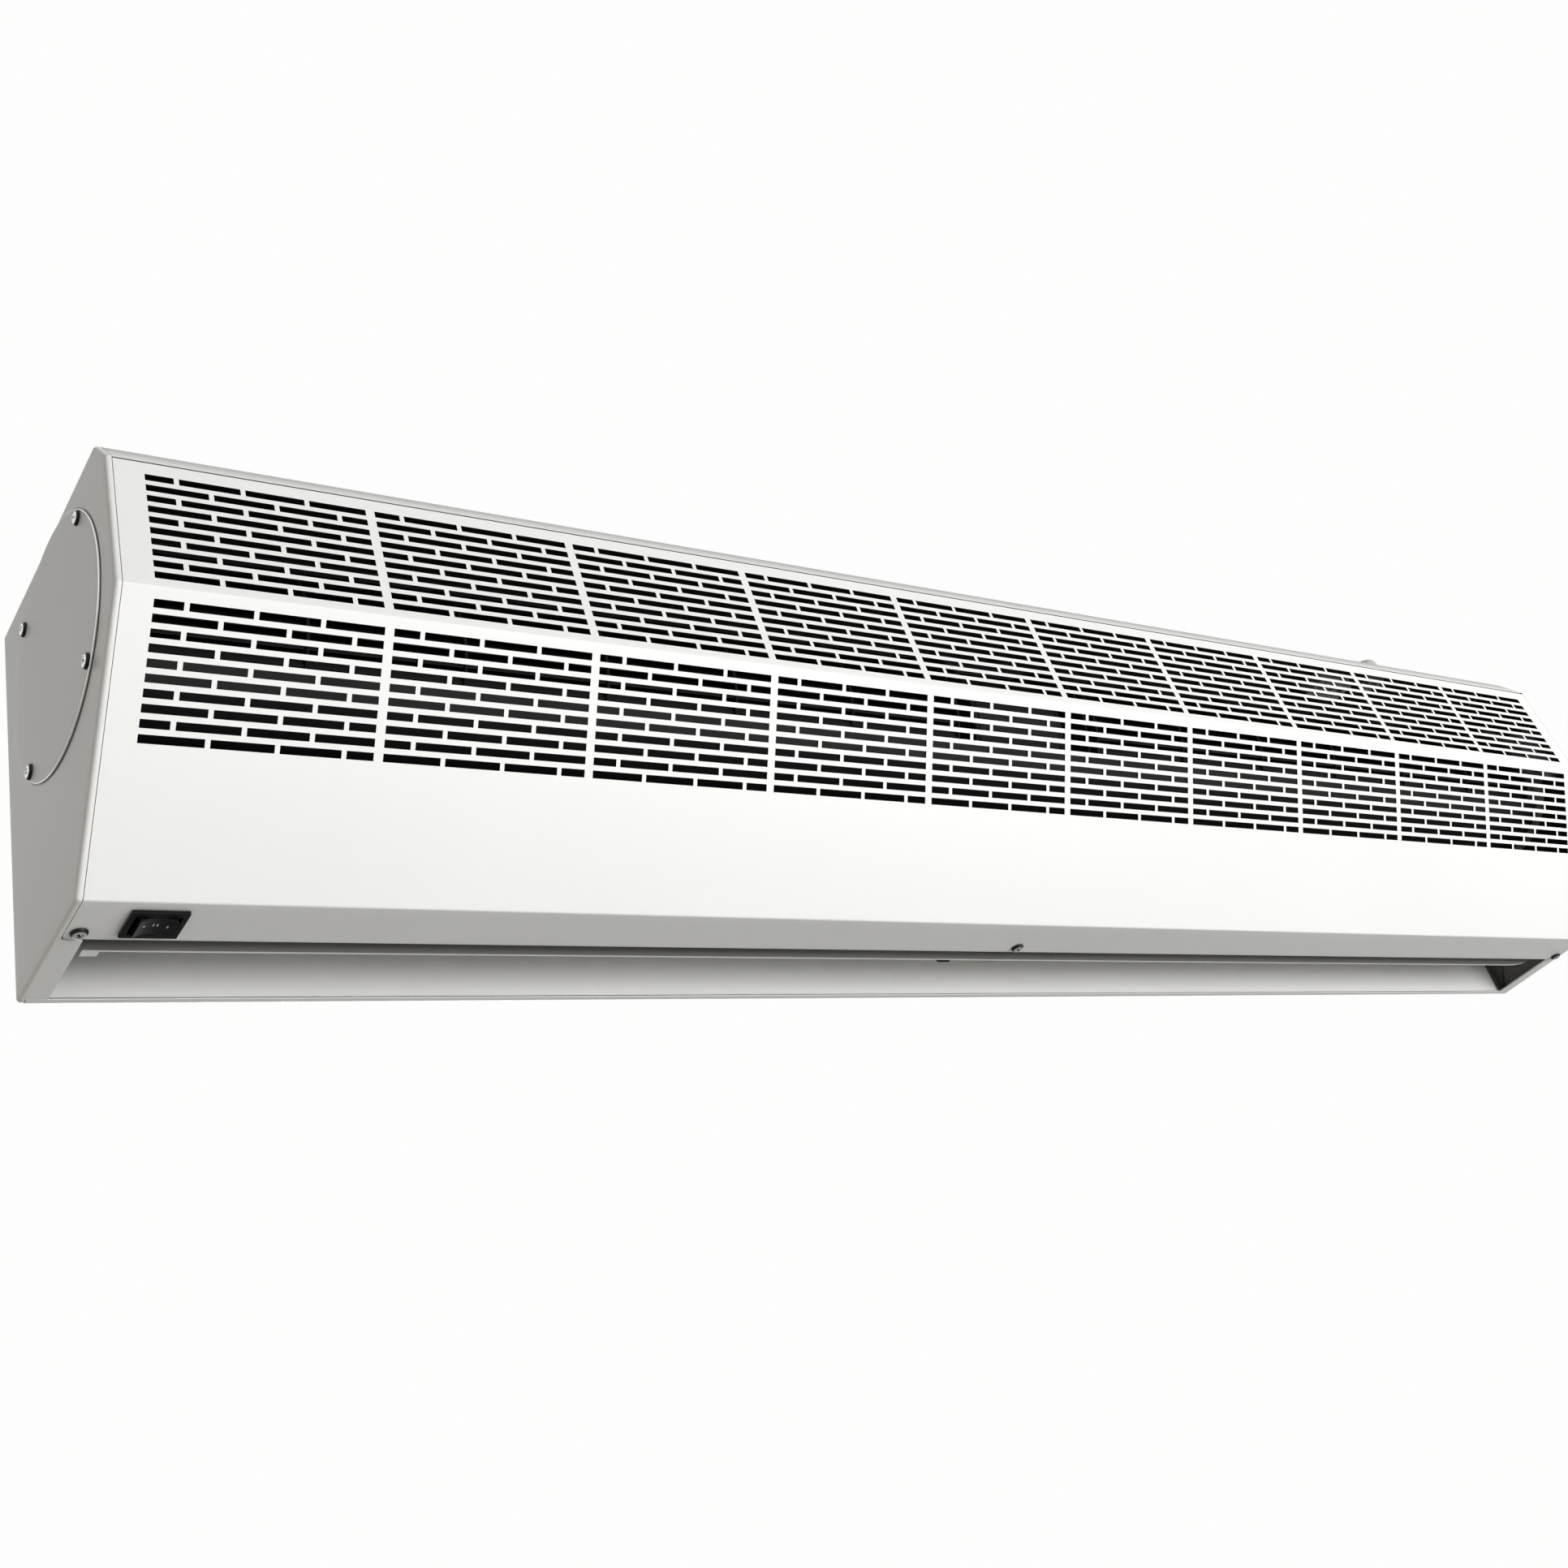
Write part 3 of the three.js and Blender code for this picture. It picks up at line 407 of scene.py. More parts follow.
@dataclass(frozen=True)
class DuctSheet(Finish):
    """Duct sheet: pale paint near the outlet, and painted shade above the throat."""

    lining: Colour = INSIDE_SHADE
    throat: tuple[float, float] = (52.0, 66.0)

    def dress(self, graph: Graph, shader: bpy.types.Node) -> None:
        """Blends paint and painted shade by height and adds drawn streaks."""
        height = graph.axes()[2] + CASE.height * MM / 2
        # Painted shade: above the throat the sheet darkens to the near-black shade colour.
        dark = height.ramp(self.throat[0] * MM, self.throat[1] * MM)
        streak = graph.noise(40.0, detail=3.0, stretch=(0.15, 1.0, 1.0))
        pale = graph.mix(streak, self.tint(0.97), self.tint(1.02))
        graph.feed(shader, Base_Color=graph.mix(dark, pale, shade(self.lining)),
                   Roughness=streak.spread(0.12) + self.roughness,
                   Normal=graph.bump(graph.noise(600.0), 2e-5, strength=0.3))


@dataclass(frozen=True)
class Galvanised(Finish):
    """Zinc-dipped sheet with spangle."""

    spangle: float = 130.0

    def dress(self, graph: Graph, shader: bpy.types.Node) -> None:
        """Adds the spangle's tones and a slight grain."""
        distance, tone = graph.cells(self.spangle)
        graph.feed(shader, Base_Color=graph.mix(tone, self.tint(0.82), self.tint(1.08)),
                   Roughness=tone.spread(0.25) + self.roughness,
                   Normal=graph.bump(distance, 4e-5, strength=0.25))


@dataclass(frozen=True)
class Turned(Finish):
    """Machined or drawn metal: fine scratches, and painted shade and reflection on rims and recesses."""

    stretch: tuple[float, float, float] = (1.0, 1.0, 1.0)
    rim_share: float = 0.12
    pits: float = 900.0

    def dress(self, graph: Graph, shader: bpy.types.Node) -> None:
        """Adds scratches and the painted shade and reflection held in the piece's "grime" attribute."""
        scratch = graph.noise(self.pits, detail=3.0, stretch=self.stretch)
        grime = graph.attribute("grime")
        clean = graph.mix(scratch, self.tint(0.85), self.tint(1.06))
        # Painted shade and reflection: where the attribute is high the metal darkens.
        graph.feed(shader, Base_Color=graph.mix(grime, clean, self.tint(self.rim_share)),
                   Roughness=grime * 0.3 + scratch.spread(0.2) + self.roughness,
                   Normal=graph.bump(scratch, 1.2e-5, strength=0.3))


@dataclass(frozen=True)
class Moulded(Finish):
    """Moulded plastic or rubber with a spark-eroded grain and a soft bloom of handling marks."""

    grain: float = 1400.0
    rise: float = 2.5e-5
    bloom: float = 0.25

    def dress(self, graph: Graph, shader: bpy.types.Node) -> None:
        """Adds the grain, the marks and what is printed."""
        grain = graph.noise(self.grain)
        marks = graph.noise(60.0, detail=4.0)
        plastic = graph.mix(marks, self.tint(1.0 - self.bloom), self.tint(1.0 + self.bloom))
        graph.feed(shader, Base_Color=self.printed(graph, plastic),
                   Roughness=marks.spread(0.16) + self.roughness,
                   Normal=graph.bump(grain, self.rise, strength=0.5))

    def printed(self, graph: Graph, plastic: bpy.types.NodeSocket) -> bpy.types.NodeSocket:
        """The plastic's colour with its print; plain pieces have none."""
        return plastic


@dataclass(frozen=True)
class MarkedRocker(Moulded):
    """Black rocker with four light position strokes, each a box of half width and half height."""

    ink: Colour = (0.62, 0.62, 0.6)
    strokes: tuple[tuple[float, float, float, float], ...] = (
        (-0.9, 1.2, 0.28, 1.0), (0.9, 1.2, 0.28, 1.0), (5.2, 1.2, 0.28, 0.9), (-5.2, 1.2, 0.5, 0.5))

    def printed(self, graph: Graph, plastic: bpy.types.NodeSocket) -> bpy.types.NodeSocket:
        """The plastic's colour with the strokes."""
        x, y, _ = graph.axes()
        ink = x * 0.0
        for along, across, half_width, half_height in self.strokes:
            dx = abs(x - (SWITCH.x + along) * MM) - half_width * MM
            dy = abs(y + (SWITCH.depth + across) * MM) - half_height * MM
            ink = ink.math("MAXIMUM", dx.math("MAXIMUM", dy).ramp(0.05 * MM, -0.05 * MM))
        return graph.mix(ink, plastic, shade(self.ink))


WHITE = PowderCoat("white_powder_coat", "white_paint", PAINT, 0.36)
CASE_WHITE = CasePaint("case_powder_coat", "white_paint", PAINT, 0.36)
END_WHITE = EndPaint("end_powder_coat", "white_paint", (0.86, 0.86, 0.84), 0.33)
FLOOR = PowderCoat("floor_paint", "white_paint", (0.72, 0.72, 0.71), 0.9)
CUT_EDGE = Turned("bright_cut_edge", "white_paint", (0.93, 0.93, 0.92), 0.3, 1.0)
VANE = VanePaint("vane_powder_coat", "white_paint", PAINT, 0.36)
# Dark grey painted shade for the end plates' inside near the outlet, near-black above the throat.
END_DUCT_SHADE = DuctSheet("end_duct_coat", "white_paint", (0.17, 0.17, 0.165), 0.5)
# Painted shade: the near-black finish that faces inside the case take.
SHADE_LINING = Lining("dark_sound_coat", "white_paint", (0.005, 0.005, 0.0055), 0.8, specular=0.2)
DUCT = DuctSheet("duct_sheet_coat", "zinc_sheet", (0.86, 0.855, 0.835), 0.5)
ZINC = Galvanised("galvanised_sheet", "zinc_sheet", (0.42, 0.43, 0.44), 0.45, 0.8)
# Near-black painted shade: the wheels are darkened so that the view through the slots stays dark.
WHEEL = Turned("dark_wheel_metal", "aluminium", (0.005, 0.005, 0.0055), 0.55, specular=0.15,
               stretch=(0.2, 1.0, 1.0))
STEEL = Turned("nickel_screw_steel", "screw_steel", (0.80, 0.80, 0.80), 0.16, 1.0, rim_share=0.03)
SHAFT = Turned("ground_shaft_steel", "screw_steel", (0.35, 0.35, 0.36), 0.3, 1.0,
               stretch=(0.1, 1.0, 1.0))
BLACK = Moulded("black_switch_plastic", "black_plastic", (0.003, 0.003, 0.0033), 0.4, specular=0.12)
ROCKER = MarkedRocker("rocker_plastic", "black_plastic", (0.004, 0.004, 0.0045), 0.35, specular=0.15)
RUBBER = Moulded("bearing_rubber", "rubber", (0.012, 0.012, 0.012), 0.75, grain=700.0, rise=6e-5)
ENAMEL = Moulded("motor_enamel", "motor_paint", (0.006, 0.006, 0.0065), 0.45, specular=0.15,
                 grain=300.0)
GREY = Moulded("grey_moulded_plastic", "grey_plastic", (0.50, 0.50, 0.485), 0.5, bloom=0.05)


# ---------------------------------------------------------------- surfaces

ALONG_X = np.array([[0.0, 0, 1], [1, 0, 0], [0, 1, 0]])
UP = np.eye(3)
DOWN = np.diag([1.0, -1.0, -1.0])
BOTH_WAYS = np.array([-1, 1])


@dataclass
class Surface:
    """Vertices in millimetres, four-cornered faces, the layer of each face, and painted shade from 0 to 1 at
    each vertex.
    """

    points: np.ndarray
    faces: np.ndarray
    layers: np.ndarray
    grime: np.ndarray

    @staticmethod
    def joined(*parts: "Surface") -> "Surface":
        """Several surfaces as one, without merging."""
        starts = np.cumsum([0] + [len(p.points) for p in parts[:-1]])
        return Surface(np.concatenate([p.points for p in parts]),
                       np.concatenate([p.faces + s for p, s in zip(parts, starts)]),
                       np.concatenate([p.layers for p in parts]),
                       np.concatenate([p.grime for p in parts]))

    def moved(self, turn: np.ndarray, shift: np.ndarray) -> "Surface":
        """The surface turned by a 3 by 3 matrix and then shifted by millimetres."""
        return Surface(self.points @ turn.T + shift, self.faces, self.layers, self.grime)

    def middles(self) -> np.ndarray:
        """The middle of each face."""
        return self.points[self.faces].mean(axis=1)


def grid_faces(rows: int, columns: int, closed: bool) -> np.ndarray:
    """Corners of every cell of a grid whose vertex (i, j) has the number i * columns + j.

    Args:
        rows: Rows of vertices.
        columns: Columns of vertices.
        closed: Whether the last column joins the first.

    Returns:
        Array of cell rows, cell columns and 4 vertex numbers.
    """
    i = np.arange(rows - 1)[:, None] * columns
    j = np.arange(columns if closed else columns - 1)[None, :]
    j1 = (j + 1) % columns
    return np.stack([i + j, i + columns + j, i + columns + j1, i + j1], axis=-1)


def skin(points: np.ndarray, grime: np.ndarray | None = None) -> Surface:
    """One surface through a grid of points whose last column joins the first.

    Args:
        points: Rows by columns by 3.
        grime: Painted shade from 0 to 1 for each point.

    Returns:
        The surface, all of it in the outside layer.
    """
    faces = grid_faces(*points.shape[:2], closed=True).reshape(-1, 4)
    shade_values = np.zeros(points.shape[:2]) if grime is None else grime
    return Surface(points.reshape(-1, 3), faces, np.zeros(len(faces), int), shade_values.reshape(-1))


def slab(outer: np.ndarray, inner: np.ndarray, keep: np.ndarray | None = None,
         closed: bool = False) -> Surface:
    """A sheet between two grids, open where cells are dropped, with a rim round each opening.

    A rim face joins the outer and inner copy of every cell side whose neighbour is missing.

    Args:
        outer: Rows by columns by 3, the sheet's outside.
        inner: The same for its inside.
        keep: One flag for each cell.
        closed: Whether the last column joins the first.

    Returns:
        The closed sheet.
    """
    rows, columns = outer.shape[:2]
    cells = grid_faces(rows, columns, closed)
    kept = np.ones(cells.shape[:2], bool) if keep is None else keep
    count = rows * columns
    outside = cells[kept]
    parts, layers = [outside, outside[:, ::-1] + count], [Layer.OUTSIDE, Layer.INSIDE]
    for axis, step, a, b in ((0, -1, 0, 3), (0, 1, 2, 1), (1, -1, 1, 0), (1, 1, 3, 2)):
        near = np.roll(kept, -step, axis)
        if not (closed and axis == 1):
            border = [slice(None), slice(None)]
            border[axis] = -1 if step > 0 else 0
            near[tuple(border)] = False
        rim = cells[kept & ~near]
        parts.append(np.stack([rim[:, a], rim[:, b], rim[:, b] + count, rim[:, a] + count], axis=1))
        layers.append(Layer.EDGE)
    points = np.concatenate([outer.reshape(-1, 3), inner.reshape(-1, 3)])
    return Surface(points, np.concatenate(parts),
                   np.concatenate([np.full(len(p), l.value) for p, l in zip(parts, layers)]),
                   np.zeros(len(points)))


def turned_grid(profile: np.ndarray, segments: int) -> np.ndarray:
    """A profile carried round the local Z axis: at angle a, (radius cos a, radius sin a, height).

    Args:
        profile: Points of radius and height; a closed loop repeats its first point.
        segments: Steps round the axis.

    Returns:
        Profile points by segments by 3.
    """
    angle = np.linspace(0, 2 * math.pi, segments, endpoint=False)
    radius, height = profile[:, 0:1], profile[:, 1:2]
    return np.stack([radius * np.cos(angle), radius * np.sin(angle),
                     np.broadcast_to(height, (len(profile), segments))], axis=-1)


def rounded(radius: float, start: float, end: float, steps: int,
            centre: tuple[float, float]) -> np.ndarray:
    """Points of an arc: centre + radius (cos a, sin a) for a from start to end in degrees."""
    angle = np.radians(np.linspace(start, end, steps + 1))
    return np.stack([centre[0] + radius * np.cos(angle), centre[1] + radius * np.sin(angle)], axis=-1)


def outward(sign: float) -> np.ndarray:
    """Rows of the matrix that turns local Z along X, with the given sign."""
    return ALONG_X * np.array([[sign], [1], [1]])


def at_x(x: float, section: np.ndarray) -> np.ndarray:
    """The points of a section, given as Y and Z, at one place along the case."""
    return np.concatenate([np.full((len(section), 1), x), section], axis=1)


def travelled(points: np.ndarray) -> np.ndarray:
    """Length along a chain of points, from the first to each."""
    return np.concatenate([[0.0], np.cumsum(np.linalg.norm(np.diff(points, axis=0), axis=1))])


def sampled(length: np.ndarray, known: np.ndarray, values: np.ndarray) -> np.ndarray:
    """Pairs of values at given lengths, by linear interpolation between the known lengths."""
    return np.stack([np.interp(length, known, values[:, k]) for k in (0, 1)], axis=-1)


def unit(vectors: np.ndarray) -> np.ndarray:
    """Vectors, one in each row, brought to length 1."""
    return vectors / np.linalg.norm(vectors, axis=-1, keepdims=True)


def within(values: np.ndarray, low: Any, high: Any) -> np.ndarray:
    """Which values lie between two bounds."""
    return (values > low) & (values < high)


def lines(*groups: Any) -> np.ndarray:
    """Sorted grid lines from numbers and arrays, each kept once."""
    together = np.concatenate([np.atleast_1d(np.asarray(g, float)) for g in groups])
    return np.unique(np.round(together, 4))


@dataclass(frozen=True)
class BentPath:
    """A path of straight runs joined by arcs, followed by its length from the start."""

    corners: tuple[tuple[float, float], ...]
    radius: float
    closed: bool = False
    steps: int = 6

    def trace(self) -> tuple[np.ndarray, np.ndarray]:
        """The path's points and left-hand normals.

        Each corner gives an arc that touches both of its runs; normals turn evenly along it.

        Returns:
            Points and unit normals, both as Y and Z.
        """
        corners = np.array(self.corners, float)
        last = len(corners) - 1
        points, normals = [], []
        for i, corner in enumerate(corners):
            back, ahead = corners[i - 1] - corner, corners[(i + 1) % len(corners)] - corner
            back, ahead = back / np.linalg.norm(back), ahead / np.linalg.norm(ahead)
            before, after = np.array([back[1], -back[0]]), np.array([-ahead[1], ahead[0]])
            if not self.closed and i in (0, last):
                points.append(corner[None])
                normals.append((after if i == 0 else before)[None])
                continue
            half = math.acos(float(np.clip(back @ ahead, -1, 1))) / 2
            start = corner + back * self.radius / math.tan(half)
            side = math.copysign(1.0, back[0] * ahead[1] - back[1] * ahead[0])
            turn = side * (2 * half - math.pi) * np.linspace(0, 1, self.steps + 1)[:, None]
            spun = np.concatenate([before[0] * np.cos(turn) - before[1] * np.sin(turn),
                                   before[0] * np.sin(turn) + before[1] * np.cos(turn)], axis=1)
            bulge = math.copysign(self.radius, -side)
            points.append(start + bulge * before - bulge * spun)
            normals.append(spun)
        return np.concatenate(points), np.concatenate(normals)

    def lengths(self) -> np.ndarray:
        """Length from the start to each traced point."""
        return travelled(self.trace()[0])

    def at(self, length: np.ndarray) -> tuple[np.ndarray, np.ndarray]:
        """Points and normals at given lengths.

        Args:
            length: Lengths from the start.

        Returns:
            Points and unit normals.
        """
        points, normals = self.trace()
        known = travelled(points)
        return sampled(length, known, points), unit(sampled(length, known, normals))

    def run_start(self, corner: int) -> float:
        """Length at which the sharp corner would lie, measured back from the run after it.

        Args:
            corner: Number of an inner corner.

        Returns:
            The length that a distance along the next run is added to.
        """
        points = np.array(self.corners, float)
        back, ahead = points[corner - 1] - points[corner], points[corner + 1] - points[corner]
        cosine = back @ ahead / np.linalg.norm(back) / np.linalg.norm(ahead)
        tangent = self.radius / math.tan(math.acos(float(cosine)) / 2)
        return float(self.lengths()[corner * (self.steps + 1)]) - tangent


# ---------------------------------------------------------------- pieces

BODY_OF = {node: body for body, nodes in frame["record"]["behaviour"]["bodies"].items() for node in nodes}
BEVEL_ANGLE = 35
BEVEL_STEPS = 2
NODE_SMOOTH = 32.0
NODE_FLATNESS = 0.5


def in_scene(name: str, data: Any) -> bpy.types.Object:
    """Puts an object into the scene.

    Args:
        name: The object's name.
        data: Its mesh, lamp or camera.

    Returns:
        The object.
    """
    thing = bpy.data.objects.new(name, data)
    bpy.context.scene.collection.objects.link(thing)
    return thing


def merge(mesh: bpy.types.Mesh, flatten: bool) -> None:
    """Merges doubled points, then joins flat faces or tidies a new surface.

    Args:
        mesh: The mesh.
        flatten: Whether to join flat faces; else empty faces go and normals are made to agree.
    """
    shape = bmesh.new()
    shape.from_mesh(mesh)
    bmesh.ops.remove_doubles(shape, verts=shape.verts, dist=MERGE_DISTANCE)
    if flatten:
        bmesh.ops.dissolve_limit(shape, angle_limit=math.radians(NODE_FLATNESS), verts=shape.verts,
                                 edges=shape.edges)
    else:
        bmesh.ops.dissolve_degenerate(shape, edges=shape.edges, dist=MERGE_DISTANCE)
        bmesh.ops.recalc_face_normals(shape, faces=shape.faces)
    shape.to_mesh(mesh)
    shape.free()


def settle(name: str, mesh: bpy.types.Mesh, finishes: list[Finish], nodes: list[str], smooth: float,
           bevel: float) -> bpy.types.Object:
    """Makes a piece of a mesh, with its looks and the CAD nodes that it stands for.

    Args:
        name: The piece's name.
        mesh: Its mesh.
        finishes: One finish, or one for each layer.
        nodes: The nodes, all on one body.
        smooth: Degrees above which an edge stays sharp.
        bevel: Width of a rounded edge in millimetres, or 0.

    Returns:
        The piece.
    """
    piece = in_scene(name, mesh)
    for finish in finishes:
        mesh.materials.append(finish.material())
    mesh.shade_smooth()
    mesh.set_sharp_from_angle(angle=math.radians(smooth))
    if bevel:
        modifier = piece.modifiers.new("rounded_edges", "BEVEL")
        modifier.width = bevel * MM
        modifier.segments = BEVEL_STEPS
        modifier.limit_method = "ANGLE"
        modifier.angle_limit = math.radians(BEVEL_ANGLE)
        modifier.harden_normals = True
        modifier.use_clamp_overlap = True
    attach(piece, BODY_OF[nodes[0]])
    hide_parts(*nodes)
    log.info("%s for %s, %d faces", piece.name, ", ".join(nodes), len(mesh.polygons))
    return piece


def make_piece(name: str, surface: Surface, finishes: list[Finish], nodes: list[str],
               smooth: float = 30.0, bevel: float = 0.0) -> bpy.types.Object:
    """Turns a surface into a piece of the object.

    Args:
        name: The piece's name.
        surface: The surface in millimetres.
        finishes: One finish, or one for each layer.
        nodes: CAD nodes that the piece stands for.
        smooth: Degrees above which an edge stays sharp.
        bevel: Width of a rounded edge in millimetres, or 0.

    Returns:
        The piece.
    """
    mesh = bpy.data.meshes.new(name)
    mesh.from_pydata(((surface.points - CASE.lift) * MM).tolist(), [], surface.faces.tolist())
    if len(finishes) > 1:
        mesh.polygons.foreach_set("material_index", surface.layers.astype(np.int32))
    # Painted shade and reflection at each vertex, read by the metal finishes.
    grime = mesh.attributes.new("grime", "FLOAT", "POINT")
    grime.data.foreach_set("value", surface.grime.astype(np.float32))
    merge(mesh, flatten=False)
    return settle(name, mesh, finishes, nodes, smooth, bevel)


def dress_node(node: str, finish: Finish, bevel: float,
               reshape: Callable[[np.ndarray], np.ndarray] | None = None) -> bpy.types.Object:
    """Stands a merged, smoothly shaded copy with rounded edges in for a CAD node.

    Args:
        node: The node's name.
        finish: Its finish.
        bevel: Edge rounding in millimetres.
        reshape: Gives new places for the merged points, both in millimetres from the underside.

    Returns:
        The piece.
    """
    mesh = frame["nodes"][node].data.copy()
    mesh.materials.clear()
    merge(mesh, flatten=True)
    if reshape:
        flat = np.empty(3 * len(mesh.vertices))
        mesh.vertices.foreach_get("co", flat)
        places = reshape(flat.reshape(-1, 3) / MM + CASE.lift)
        mesh.vertices.foreach_set("co", ((places - CASE.lift) * MM).ravel())
    return settle(f"{node}_dressed", mesh, [finish], [node], NODE_SMOOTH, bevel)


def seat(node: str) -> tuple[np.ndarray, np.ndarray]:
    """A node's lowest and highest corner in millimetres, Z from the underside of the case."""
    low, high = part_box(node)
    return np.array(low) / MM + CASE.lift, np.array(high) / MM + CASE.lift


# ---------------------------------------------------------------- sub-assemblies


@dataclass(frozen=True)
class CaseShape:
    """Outline of the case seen from its left end, and its sheet."""

    length: float = 1200.0
    height: float = 213.0
    depth: float = 165.0
    top_depth: float = 151.0
    corner_drop: float = 19.0
    crease_height: float = 116.0
    bottom_crease_depth: float = 88.5
    lip_depth: float = 56.0
    rear_lip_depth: float = 4.5
    sheet: float = 1.0
    end_sheet: float = 1.5
    end_fold: float = 3.1
    gap: float = 0.3
    flange: float = 11.5
    axis: tuple[float, float] = (-82.5, 144.0)

    @property
    def sheet_end(self) -> float:
        """Half the length of the front cover and back sheet."""
        return self.length / 2 - self.end_fold - self.gap

    @property
    def lift(self) -> np.ndarray:
        """From the middle of the case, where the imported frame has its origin, to its underside."""
        return np.array([0, 0, self.height / 2])

    def corner_normal(self) -> tuple[float, float]:
        """Outward normal of the slanting top front corner."""
        across, drop = self.depth - self.top_depth, self.corner_drop
        long = math.hypot(across, drop)
        return -drop / long, across / long

    def outline(self) -> tuple[tuple[float, float], ...]:
        """Corners of the end plate, clockwise seen from the left."""
        return ((0, 0), (0, self.height), (-self.top_depth, self.height),
                (-self.depth, self.height - self.corner_drop), (-self.depth, self.crease_height),
                (-self.bottom_crease_depth, 0))


CASE = CaseShape()


@dataclass(frozen=True)
class SwitchPlace:
    """Where the rocker switch sits in the front cover's flange, and its bezel."""

    x: float = -561.0
    depth: float = 72.5
    bezel_width: float = 26.0
    bezel_depth: float = 21.0
    rim: float = 1.4
    well_depth: float = 14.0
    rocker_half: float = 8.6
    proud: float = 2.4
    bezel_thickness: float = 2.0
    pivot: float = 2.0
    crest: float = 2.5


SWITCH = SwitchPlace()


@dataclass
class FrontCover:
    """Slotted cover: ten cells of brick-like slots on each of two panels, flange and hem."""

    cells: int = 10
    rows: int = 10
    margin: float = 17.95
    cell_pitch: float = 116.9
    cell_width: float = 112.0
    short_slot: float = 13.8
    bridge: float = 2.5
    slot_height: float = 4.0
    row_pitch: float = 6.75
    top_gap: float = 1.2
    upper_offset: float = 9.3
    lower_offset: float = 7.8
    hem: float = 5.0
    bend: float = 1.5
    corner: float = 2.0
    corner_lines: tuple[float, ...] = (5, 4, 3.2, 2.6, 2.1)
    duct_end: float = 586.5
    guard: float = 0.25

    def path(self) -> BentPath:
        """The cover's outside, from its top edge down and under to the hem."""
        outline = CASE.outline()
        top = (-CASE.depth, CASE.height - CASE.corner_drop - self.top_gap)
        return BentPath((top, outline[4], outline[5], (-CASE.lip_depth, 0),
                         (-CASE.lip_depth, self.hem)), self.bend)

    def slots(self, row: int) -> np.ndarray:
        """Start and end of the slots of one row of a cell.

        Long slots fill what a short one leaves; the short one is first in even rows, last in odd.

        Args:
            row: Row number.

        Returns:
            Four pairs measured from the cell's start.
        """
        long = (self.cell_width - self.short_slot - 3 * self.bridge) / 3
        widths = [self.short_slot, long, long, long]
        if row % 2:
            widths.reverse()
        starts = np.concatenate([[0], np.cumsum(np.array(widths[:-1]) + self.bridge)])
        return np.stack([starts, starts + widths], axis=1)

    def build(self) -> bpy.types.Object:
        """The cover as a grid of length and girth with its openings left out."""
        path = self.path()
        bends = path.lengths()
        starts = self.margin - CASE.length / 2 + self.cell_pitch * np.arange(self.cells)
        panels = (0.0, self.upper_offset), (path.run_start(1), self.lower_offset)
        rows = np.concatenate([base + first + self.row_pitch * np.arange(self.rows)
                               for base, first in panels])
        crease = path.run_start(2) + CASE.bottom_crease_depth
        cut = CASE.gap - SWITCH.rim
        switch_x = SWITCH.x + (SWITCH.bezel_width / 2 + cut) * BOTH_WAYS
        switch_s = crease - SWITCH.depth + (SWITCH.bezel_depth / 2 + cut) * BOTH_WAYS
        corner = crease - CASE.lip_depth - np.array(self.corner_lines)
        girth = lines(bends, bends[[1, 1 + path.steps]] + self.guard * BOTH_WAYS,
                      rows - self.slot_height / 2, rows + self.slot_height / 2, switch_s, corner)
        patterns = np.concatenate([self.slots(0).ravel(), self.slots(1).ravel()])
        along = lines(BOTH_WAYS * CASE.sheet_end, (starts[:, None] + patterns).ravel(), switch_x,
                      BOTH_WAYS * self.duct_end)
        middle_x, middle_s = (along[1:] + along[:-1]) / 2, (girth[1:] + girth[:-1]) / 2
        keep = np.ones((len(middle_x), len(middle_s)), bool)
        for row, place in enumerate(rows):
            spans = (starts[:, None, None] + self.slots(row % self.rows)).reshape(-1, 2)
            open_x = within(middle_x[:, None], spans[:, 0], spans[:, 1]).any(axis=1)
            keep[np.ix_(open_x, np.abs(middle_s - place) < self.slot_height / 2)] = False
        keep[np.ix_(within(middle_x, *switch_x), within(middle_s, *switch_s))] = False
        lip_bend = bends[1 + 2 * (path.steps + 1)]
        keep[np.ix_(np.abs(middle_x) > self.duct_end, middle_s > lip_bend - 0.01)] = False
        place, normal = path.at(girth)
        fall = np.clip(girth - (lip_bend - self.corner), 0, self.corner)
        inset = self.corner - np.sqrt(self.corner ** 2 - np.clip(fall, 0, self.corner * 0.995) ** 2)
        outer = np.stack([at_x(x, place) for x in along])
        outer[0, :, 0] += inset
        outer[-1, :, 0] -= inset
        shift = np.zeros_like(outer)
        shift[..., 1:] = normal * CASE.sheet
        surface = slab(outer, outer + shift, keep)
        # Painted shade: the cover's inside and the slots' rims take the near-black shade finish.
        middle = surface.middles()
        rim = (surface.layers == Layer.EDGE.value) & (np.abs(middle[:, 0]) < self.duct_end - 1)
        surface.layers[rim & (middle[:, 2] > 2 * self.hem)] = Layer.INSIDE.value
        return make_piece("front_cover_sheet", surface, [WHITE, SHADE_LINING, WHITE], ["front_cover"])


